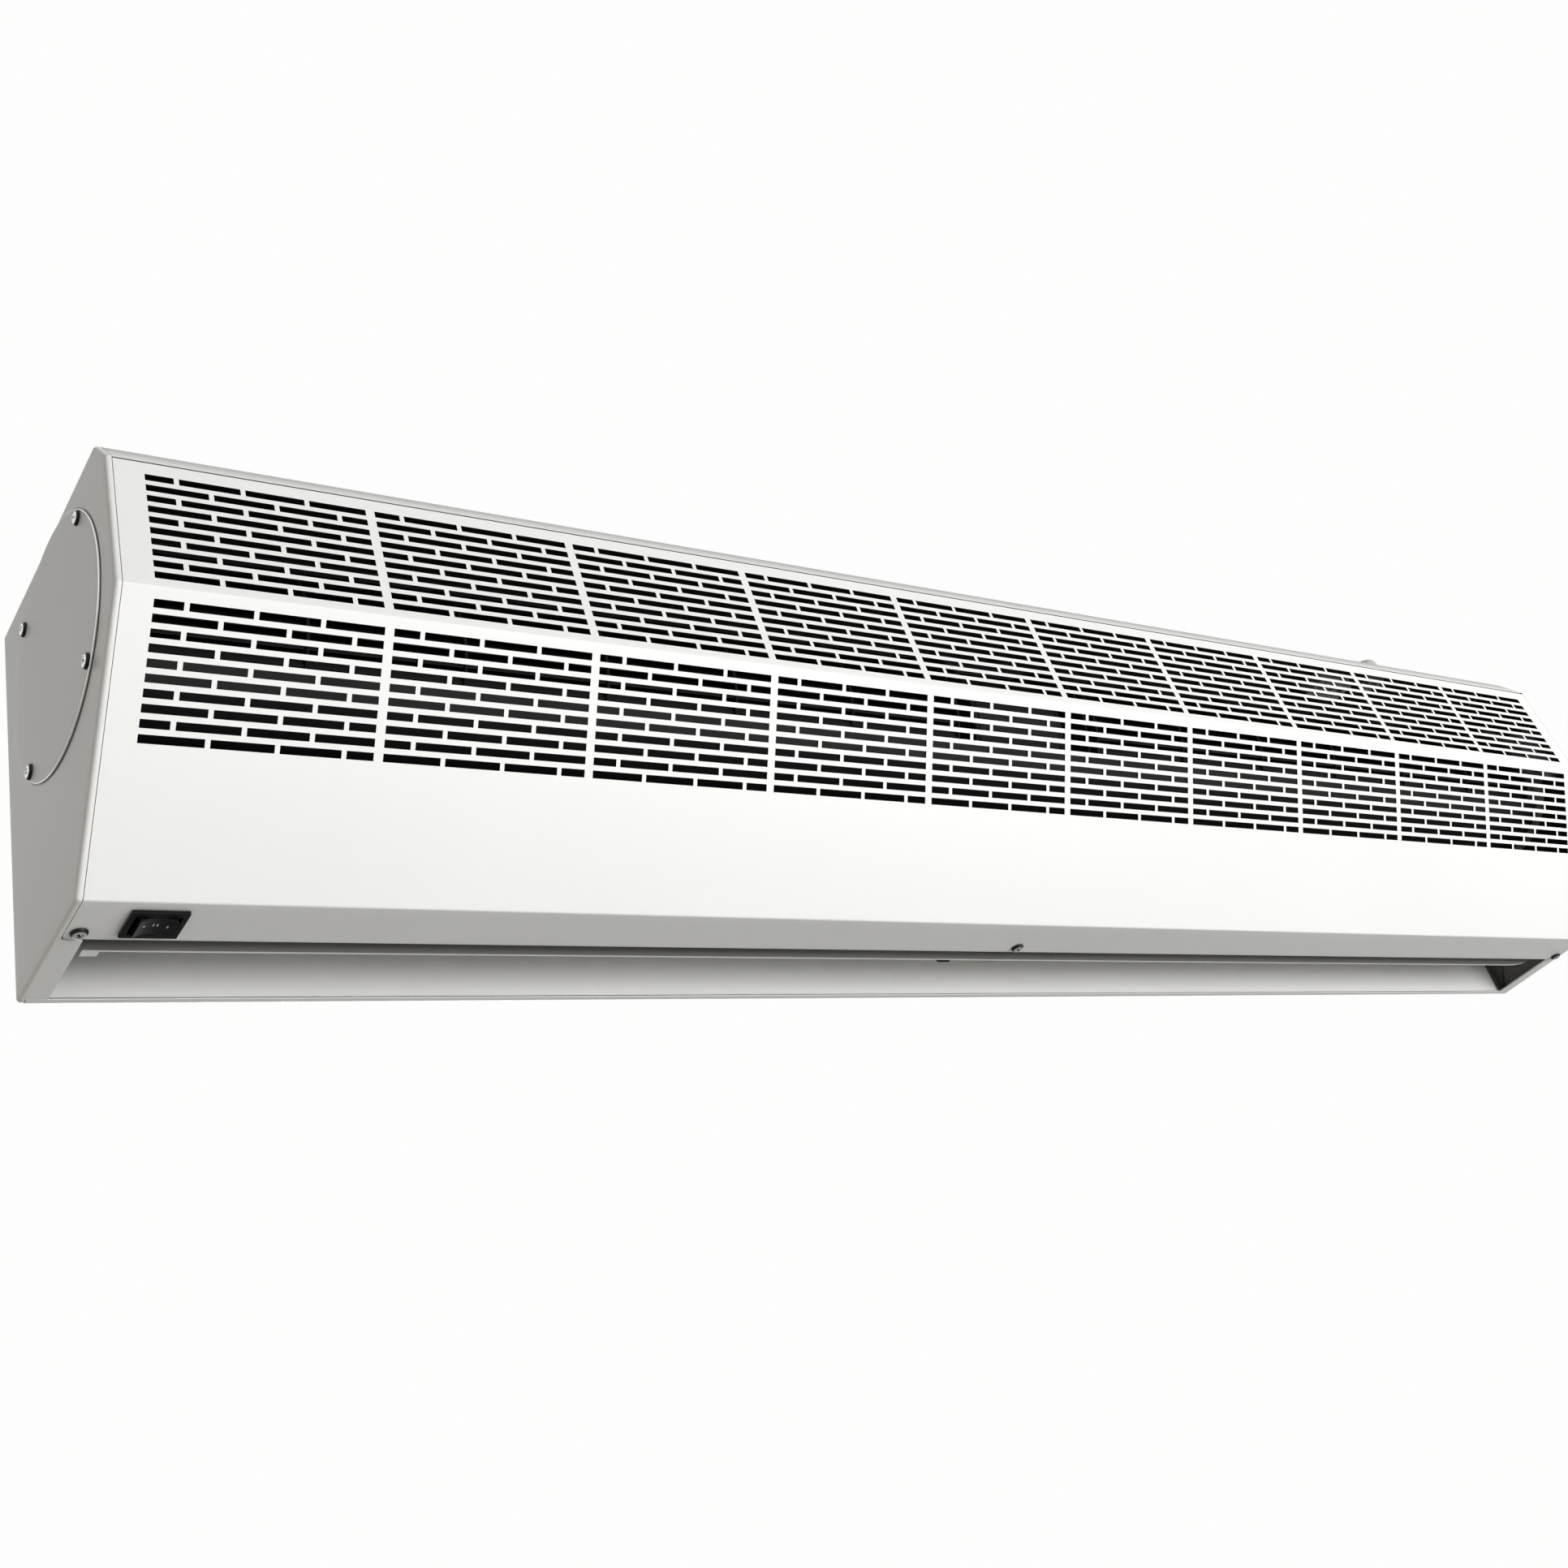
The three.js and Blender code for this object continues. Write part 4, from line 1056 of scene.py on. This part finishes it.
@dataclass
class EndPlate:
    """Pan-shaped end plate: round opening, rounded edge, joggled flange under the sheets."""

    opening: float = 56.0
    edge: float = 2.0
    bend: float = 2.6
    spacing: float = 4.0
    joggle: tuple[float, float] = (0.9, 0.4)
    edge_growth: float = 0.6
    face_growth: float = 1.2
    face_rings: int = 8

    def perimeter(self) -> tuple[np.ndarray, np.ndarray, np.ndarray]:
        """Points round the outline, their inward normals and how far the flange sits in there.

        Returns:
            Points, normals, and insets that are 0 beside the outlet.
        """
        points, normals = BentPath(CASE.outline(), self.bend, closed=True).trace()
        points, normals = np.concatenate([points, points[:1]]), np.concatenate([normals, normals[:1]])
        known = travelled(points)
        front = (points[:, 1] < 0.01) & (points[:, 0] < -20)
        last = known[front].max()
        edge_y = points[np.argmax(known == last)][0]
        start = last + (-edge_y - (CASE.lip_depth - CASE.gap))
        end = last + (-edge_y - (CASE.rear_lip_depth + CASE.gap))
        marks = [start, end, start - 0.2, end + 0.2]
        steps = lines(known, np.arange(0, known[-1], self.spacing), marks)[:-1]
        place, inward = sampled(steps, known, points), unit(sampled(steps, known, normals))
        middle = np.array([-CASE.depth / 2, CASE.height / 2])
        inward *= np.sign(((middle - place) * inward).sum(axis=1))[:, None]
        flush = within(steps, start - 0.1, end + 0.1)
        return place, inward, np.where(flush, 0.0, CASE.sheet + CASE.gap)

    def build(self, side: Side) -> bpy.types.Object:
        """The pan: flange, joggle, rounded edge and a face blended from outline to opening.

        Args:
            side: Which end.

        Returns:
            The piece.
        """
        place, inward, inset = self.perimeter()
        half = CASE.length / 2
        back, fold = half - CASE.end_sheet, half - CASE.end_fold
        rows = [(inset, back - CASE.flange), (inset, fold - self.joggle[0]),
                (inset, fold - self.joggle[1]), (inset * 0, fold)]
        flange_rows = len(rows)
        arc = rounded(self.edge, 180, 90, 6, (self.edge, half - self.edge))
        rows += [(inset * 0 + d, x) for d, x in arc]
        outer, inner = [], []
        for i, (d, x) in enumerate(rows):
            thick = d[:, None] + CASE.sheet + (i >= flange_rows) * self.edge_growth
            outer.append(at_x(x, place + inward * d[:, None]))
            inner.append(at_x(min(x, back), place + inward * thick))
        rim = place + inward * self.edge
        hole = CASE.axis + unit(rim - CASE.axis) * self.opening
        for share in np.linspace(0, 1, self.face_rings + 1)[1:]:
            between = rim + (hole - rim) * share
            outer.append(at_x(half, between))
            inner.append(at_x(back, between + (1 - share) * inward * self.face_growth))
        outer, inner = np.array(outer), np.array(inner)
        outer[..., 0] *= side.value
        inner[..., 0] *= side.value
        surface = slab(outer, inner, closed=True)
        # Painted shade: the plate's inside takes the duct shade, and the flange seen through the gap under
        # the sheets takes the near-black shade.
        covered = (inset > 0) & (np.roll(inset, -1) > 0)
        surface.layers[:3 * len(place)][np.tile(covered, 3)] = Layer.HIDDEN.value
        return make_piece(f"end_plate_{side.word}_pan", surface, [END_WHITE, END_DUCT_SHADE, WHITE, SHADE_LINING],
                          [f"end_plate_{side.word}"], smooth=34)


@dataclass
class AccessCover:
    """Round plate over the bearing opening with a rounded edge."""

    radius: float = 66.0
    edge: float = 0.3
    thickness: float = 0.8
    segments: int = 144
    face_rings: int = 12
    back_rings: int = 8

    def build(self, side: Side) -> bpy.types.Object:
        """The plate turned round the wheels' axis.

        Args:
            side: Which end.

        Returns:
            The piece.
        """
        low, high = seat(f"access_cover_{side.word}")
        flat = self.radius - self.edge
        face = np.linspace(0, flat, self.face_rings)
        back = np.linspace(self.radius, 0, self.back_rings)
        profile = np.concatenate([np.stack([face, np.full_like(face, self.thickness)], axis=1),
                                  rounded(self.edge, 90, 0, 6, (flat, self.thickness - self.edge)),
                                  np.stack([back, np.zeros_like(back)], axis=1)])
        start = low[0] if side is Side.RIGHT else high[0]
        surface = skin(turned_grid(profile, self.segments)).moved(
            outward(side.value), np.array([start, *CASE.axis]))
        surface.layers[np.hypot(*(surface.middles()[:, 1:] - CASE.axis).T) > flat] = Layer.INSIDE.value
        return make_piece(f"access_cover_{side.word}_plate", surface, [WHITE, CUT_EDGE],
                          [f"access_cover_{side.word}"], smooth=40)


@dataclass
class PanScrews:
    """Pan head screws with a cross recess."""

    radius: float = 4.0
    height: float = 2.2
    shank: float = 1.9
    length: float = 7.0
    tip: float = 0.6
    tip_length: float = 1.5
    recess: float = 1.2
    arm_half: float = 0.5
    arm_reach: float = 2.2
    side_ramp: float = 0.3
    end_ramp: float = 0.7
    grime_start: float = 0.72
    grime_run: float = 0.1
    rings: int = 22
    segments: int = 56
    first_spin: float = 0.6
    spin_step: float = 1.9

    def head(self) -> Surface:
        """One screw, head up on local Z.

        The dome's height is H (1 - (r / R)^3)^(1/2), less the recess where either arm of the cross
        reaches; the walls of the recess are ramps.

        Returns:
            The screw.
        """
        share = np.linspace(0, 1, self.rings) ** 0.8
        dome = self.height * np.sqrt(1 - share ** 3)
        top = turned_grid(np.stack([share * self.radius, dome], axis=1), self.segments)
        a, b = np.abs(top[..., 0]), np.abs(top[..., 1])
        cross = np.maximum(*(np.clip((self.arm_half - p) / self.side_ramp + 0.5, 0, 1)
                             * np.clip((self.arm_reach - q) / self.end_ramp, 0, 1)
                             for p, q in ((a, b), (b, a))))
        top[..., 2] -= self.recess * cross
        stem = turned_grid(np.array([[self.shank, 0.0], [self.shank, self.tip_length - self.length],
                                     [self.tip, -self.length], [0, -self.length]]), self.segments)
        # Painted shade and reflection: the recess, the dome's outer rim and the stem are darkened.
        rim = np.clip((share - self.grime_start) / self.grime_run, 0, 1)[:, None]
        grime = np.concatenate([np.maximum(cross, rim), np.ones(stem.shape[:2])])
        return skin(np.concatenate([top, stem]), grime)

    def build(self) -> None:
        """Places a screw on each node, each turned its own way."""
        nodes = [f"cover_screw_{word}" for word in ("left", "middle", "right")]
        nodes += [f"access_screw_{side.word}_{i}" for side in Side for i in (1, 2, 3, 4)]
        for number, node in enumerate(nodes):
            low, high = seat(node)
            middle = (low + high) / 2
            spin = self.first_spin + self.spin_step * number
            roll = np.array([[math.cos(spin), -math.sin(spin), 0],
                             [math.sin(spin), math.cos(spin), 0], [0, 0, 1]])
            if node.startswith("cover"):
                turn, place = DOWN, np.array([middle[0], middle[1], low[2] + self.height])
            else:
                side = Side.RIGHT if middle[0] > 0 else Side.LEFT
                turn = outward(side.value)
                plate, outside = seat(f"access_cover_{side.word}")
                face = side.value * (min(abs(plate[0]), abs(outside[0])) + AccessCover.thickness)
                place = np.array([face, middle[1], middle[2]])
            make_piece(f"{node}_head", self.head().moved(turn @ roll, place), [STEEL], [node], smooth=50)


@dataclass
class Wheels:
    """Cross-flow wheels: curved blades, end discs and middle rings."""

    blades: int = 36
    bore: float = 37.0
    radius: float = 50.0
    rim: float = 51.0
    lip: float = 0.4
    sweep: float = 0.3
    thickness: float = 0.7
    disc: float = 2.0
    rings: int = 5
    ring_bore: float = 34.0
    ring_segments: int = 96
    steps: int = 7
    shaft: float = 4.3
    sunk: float = 0.5

    def blade_set(self, start: float, end: float) -> Surface:
        """All blades between two X places.

        A blade's middle line is at the angle a0 + sweep (1 - cos(pi t / 2)) and the radius
        bore + (radius - bore) t.

        Args:
            start: Lower X.
            end: Higher X.

        Returns:
            The blades.
        """
        t = np.linspace(0, 1, self.steps)
        radius = self.bore + (self.radius - self.bore) * t
        parts = []
        for first in 2 * math.pi * np.arange(self.blades) / self.blades:
            turn = first + self.sweep * (1 - np.cos(math.pi * t / 2))
            faces = []
            for shift in (-0.5, 0.5):
                angle = turn + shift * self.thickness / radius
                section = CASE.axis + radius[:, None] * np.stack([np.cos(angle), np.sin(angle)], axis=-1)
                faces.append(np.stack([at_x(x, section) for x in (start, end)]))
            parts.append(slab(*faces))
        return Surface.joined(*parts)

    def build(self, side: Side) -> bpy.types.Object:
        """The wheel on its CAD node's place.

        Args:
            side: Which wheel.

        Returns:
            The piece.
        """
        node = f"impeller_{side.word}"
        low, high = seat(node)
        parts = [self.blade_set(low[0] + self.sunk, high[0] - self.sunk)]
        for i, x in enumerate(np.linspace(low[0], high[0] - self.disc, self.rings + 2)):
            bore = self.shaft if i in (0, self.rings + 1) else self.ring_bore
            inner = self.rim - self.lip
            profile = np.array([[bore, 0], [inner, 0], [self.rim, self.lip],
                                [self.rim, self.disc - self.lip], [inner, self.disc],
                                [bore, self.disc], [bore, 0]])
            ring = skin(turned_grid(profile, self.ring_segments))
            parts.append(ring.moved(ALONG_X, np.array([x, *CASE.axis])))
        return make_piece(f"{node}_blades", Surface.joined(*parts), [WHEEL], [node], smooth=40)


@dataclass
class Rocker:
    """The switch's rocker: a hollowed face between two proud ends."""

    steps: int = 24
    edge: float = 0.35

    def build(self) -> bpy.types.Object:
        """The rocker as a bent face carried along Y.

        The face is at floor + proud (1 - (x / half)^2), so it is hollow in the middle.

        Returns:
            The piece.
        """
        half, s = SWITCH.rocker_half, SWITCH
        floor = -CASE.gap - s.bezel_thickness - s.proud
        x = np.linspace(-half, half, self.steps)
        hollow = floor + s.proud * (1 - (x / half) ** 2)
        roof = s.pivot + s.crest * (1 - np.abs(x) / half)
        ends = -s.depth + BOTH_WAYS * (s.well_depth / 2 - CASE.gap)
        face, back = (np.stack([np.stack([s.x + x, np.full_like(x, y), z], axis=-1) for y in ends])
                      for z in (hollow, roof))
        return make_piece("switch_rocker_face", slab(face, back), [ROCKER], ["switch_rocker"], 40, self.edge)


@dataclass
class Gland:
    """Cable gland: turned body with a domed cap and a ribbed waist."""

    radius: float = 12.0
    cap: float = 8.6
    bore: float = 4.0
    height: float = 12.0
    shoulder: float = 7.2
    thread: float = 8.0
    standoff: float = 0.3
    foot: float = 1.2
    chamfer: float = 0.8
    ribs: int = 24
    rib_depth: float = 0.35

    def build(self) -> bpy.types.Object:
        """The gland with ribs: the waist's radius falls by half a cosine wave between ribs."""
        low, high = seat("cable_gland")
        middle = (low + high) / 2
        centre = np.array([middle[0], middle[1], high[2] - self.height])
        bottom = low[2] - centre[2]
        dome = rounded(1.0, 0, 90, 5, (0, 0)) * [self.radius - self.cap, self.height - self.shoulder]
        profile = np.concatenate([
            [[self.bore, bottom], [self.thread, bottom], [self.thread, self.standoff],
             [self.radius, self.standoff], [self.radius, self.foot], [self.radius, self.shoulder - 0.6]],
            dome + [self.cap, self.shoulder],
            [[self.bore + self.chamfer, self.height], [self.bore, self.height - self.chamfer],
             [self.bore, bottom]]])
        surface = skin(turned_grid(profile, self.ribs * 6)).moved(UP, centre)
        x, y, z = (surface.points - centre).T
        waist = within(z, 1.0, self.shoulder) & (np.hypot(x, y) > self.radius - 0.1)
        ripple = (1 - np.cos(self.ribs * np.arctan2(y, x))) / 2
        shrink = 1 - waist * self.rib_depth / self.radius * ripple
        surface.points[:, :2] = centre[:2] + np.stack([x, y], axis=1) * shrink[:, None]
        return make_piece("cable_gland_body", surface, [GREY], ["cable_gland"], smooth=40)


@dataclass
class DressedNodes:
    """CAD nodes whose shape is right: merged copies with rounded edges and a finish."""

    lip_start: float = 11.0
    wall_top: float = 102.0
    front: tuple[tuple[str, Finish, float], ...] = (
        ("tongue_plate", DUCT, 0.15), ("switch_body", BLACK, 0.5))
    # The motor brackets take the near-black painted shade finish.
    at_each_end: tuple[tuple[str, Finish, float], ...] = (
        ("motor_bracket", SHADE_LINING, 0.2), ("impeller_hub", SHAFT, 0.4), ("stub_shaft", SHAFT, 0.3),
        ("bearing_bridge", ZINC, 0.3), ("bearing_holder", RUBBER, 0.5), ("bearing", SHAFT, 0.3),
        ("motor_bell", ENAMEL, 0.8), ("motor_ring", RUBBER, 0.5), ("vane_pivot", BLACK, 0.4))
    within_case: tuple[tuple[str, Finish, float], ...] = (
        ("motor_housing", ENAMEL, 0.5), ("motor_shaft", SHAFT, 0.3), ("capacitor", GREY, 0.6),
        ("capacitor_clip", ZINC, 0.15), ("terminal_block", GREY, 0.3), ("gland_nut", GREY, 0.4))

    def narrow_lip(self, points: np.ndarray) -> np.ndarray:
        """Draws the edge of the case's rear lip back, so that the lip is as narrow as it looks.

        Args:
            points: The back casing's points.

        Returns:
            The new points.
        """
        edge = (np.abs(points[:, 1] + self.lip_start) < 1.0) & (points[:, 2] < 2 * CASE.sheet)
        points[edge, 1] = -CASE.rear_lip_depth
        return points

    def lean_wall(self, points: np.ndarray) -> np.ndarray:
        """Leans the duct's straight rear wall, so that its foot meets the narrow lip.

        The shift falls evenly with height from the foot up to the wall's top.

        Args:
            points: The scroll sheet's points.

        Returns:
            The new points.
        """
        share = np.clip((self.wall_top - points[:, 2]) / self.wall_top, 0, 1)
        points[:, 1] += share * (self.lip_start - CASE.rear_lip_depth)
        return points

    def build(self) -> None:
        """Dresses every remaining node."""
        dress_node("back_casing", CASE_WHITE, 0.15, self.narrow_lip)
        dress_node("deflector_vane", VANE, 0.3)
        dress_node("scroll_sheet", DUCT, 0.15, self.lean_wall)
        for node, finish, bevel in self.front:
            dress_node(node, finish, bevel)
        for side in Side:
            for node, finish, bevel in self.at_each_end:
                dress_node(f"{node}_{side.word}", finish, bevel)
        for node, finish, bevel in self.within_case:
            dress_node(node, finish, bevel)


# ---------------------------------------------------------------- studio


@dataclass(frozen=True)
class Lamp:
    """A rectangular soft lamp: metres, watts and a linear colour."""

    name: str
    place: tuple[float, float, float]
    size: tuple[float, float]
    power: float
    aim: tuple[float, float, float] = (0.0, 0.0, 0.0)
    colour: Colour = (1.0, 1.0, 1.0)

    def build(self) -> None:
        """Hangs the lamp and turns it to its aim."""
        data = bpy.data.lights.new(self.name, "AREA")
        data.shape = "RECTANGLE"
        data.color = self.colour
        data.size, data.size_y = self.size
        data.energy = self.power
        lamp = in_scene(self.name, data)
        lamp.location = self.place
        toward = Vector(self.aim) - Vector(self.place)
        lamp.rotation_euler = toward.to_track_quat("-Z", "Y").to_euler()


@dataclass
class Studio:
    """Pale floor, soft lamps and a white surround."""

    floor_drop: float = 1.6
    floor_size: float = 14.0
    ambient: Colour = (0.105, 0.102, 0.095)
    backdrop: Colour = (0.985, 0.985, 0.98)
    lamps: tuple[Lamp, ...] = (
        Lamp("key_softbox", (1.2, -3.2, -0.8), (3.6, 2.4), 155.0),
        Lamp("back_softbox", (1.0, 3.0, 1.4), (1.8, 2.0), 50.0),
        Lamp("side_softbox", (-3.2, -0.4, -1.3), (2.4, 2.4), 13.0, aim=(-0.6, 0.0, 0.0),
             colour=(1.0, 0.93, 0.80)))

    def floor(self) -> None:
        """A wide matt floor below the object."""
        half = self.floor_size / 2
        corners = [(half * x, half * y, -self.floor_drop) for x, y in ((-1, -1), (1, -1), (1, 1), (-1, 1))]
        mesh = bpy.data.meshes.new("studio_floor")
        mesh.from_pydata(corners, [], [(0, 1, 2, 3)])
        mesh.materials.append(FLOOR.material())
        floor = in_scene("studio_floor", mesh)

    def surround(self) -> None:
        """World: dim for light on the object, pale for what the camera and mirrors see."""
        world = bpy.data.worlds.new("studio_world")
        bpy.context.scene.world = world
        graph = Graph(world)
        path = graph.node("ShaderNodeLightPath")
        camera, glossy, through = (Value(graph, path.outputs[f"Is {kind} Ray"])
                                   for kind in ("Camera", "Glossy", "Transmission"))
        seen = (camera + glossy + through).math("MINIMUM", 1.0)
        light, white = (graph.node("ShaderNodeBackground", inputs={"Color": shade(colour)}).outputs[0]
                        for colour in (self.ambient, self.backdrop))
        both = graph.node("ShaderNodeMixShader", inputs={0: seen, 1: light, 2: white})
        graph.node("ShaderNodeOutputWorld", inputs={"Surface": both.outputs[0]})

    def build(self) -> None:
        """Sets the stage."""
        self.floor()
        for lamp in self.lamps:
            lamp.build()
        self.surround()


@dataclass
class PhotoCamera:
    """The photograph's view: from below and in front of the left end."""

    place: tuple[float, float, float] = (-0.8260, -0.7757, -0.5354)
    forward: tuple[float, float, float] = (0.5805, 0.5344, 0.6143)
    right: tuple[float, float, float] = (0.7978, -0.5244, -0.2977)
    lens: float = 40.81
    sensor: float = 36.0
    shift: tuple[float, float] = (-0.0058, -0.192)
    clip: tuple[float, float] = (0.02, 60.0)

    def build(self) -> None:
        """Makes the camera; its axes are the right, the up and the backward direction."""
        data = bpy.data.cameras.new("photo_camera")
        data.lens, data.sensor_width = self.lens, self.sensor
        data.shift_x, data.shift_y = self.shift
        data.clip_start, data.clip_end = self.clip
        camera = in_scene("photo_camera", data)
        back = -np.array(self.forward) / np.linalg.norm(self.forward)
        right = np.array(self.right) - back * (np.array(self.right) @ back)
        right /= np.linalg.norm(right)
        axes = Matrix.Identity(4)
        for column, axis in enumerate((right, np.cross(back, right), back, self.place)):
            for row in range(3):
                axes[row][column] = float(axis[row])
        camera.matrix_world = axes
        bpy.context.scene.camera = camera
        bpy.context.scene.view_settings.view_transform = "Standard"


def main() -> None:
    """Builds the looks in order."""
    logging.basicConfig(level=logging.INFO, format="%(name)s: %(message)s")
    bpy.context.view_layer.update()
    PhotoCamera().build()
    Studio().build()
    FrontCover().build()
    for side in Side:
        EndPlate().build(side)
        AccessCover().build(side)
        Wheels().build(side)
    PanScrews().build()
    Rocker().build()
    Gland().build()
    DressedNodes().build()


if __name__ == "__main__":
    main()
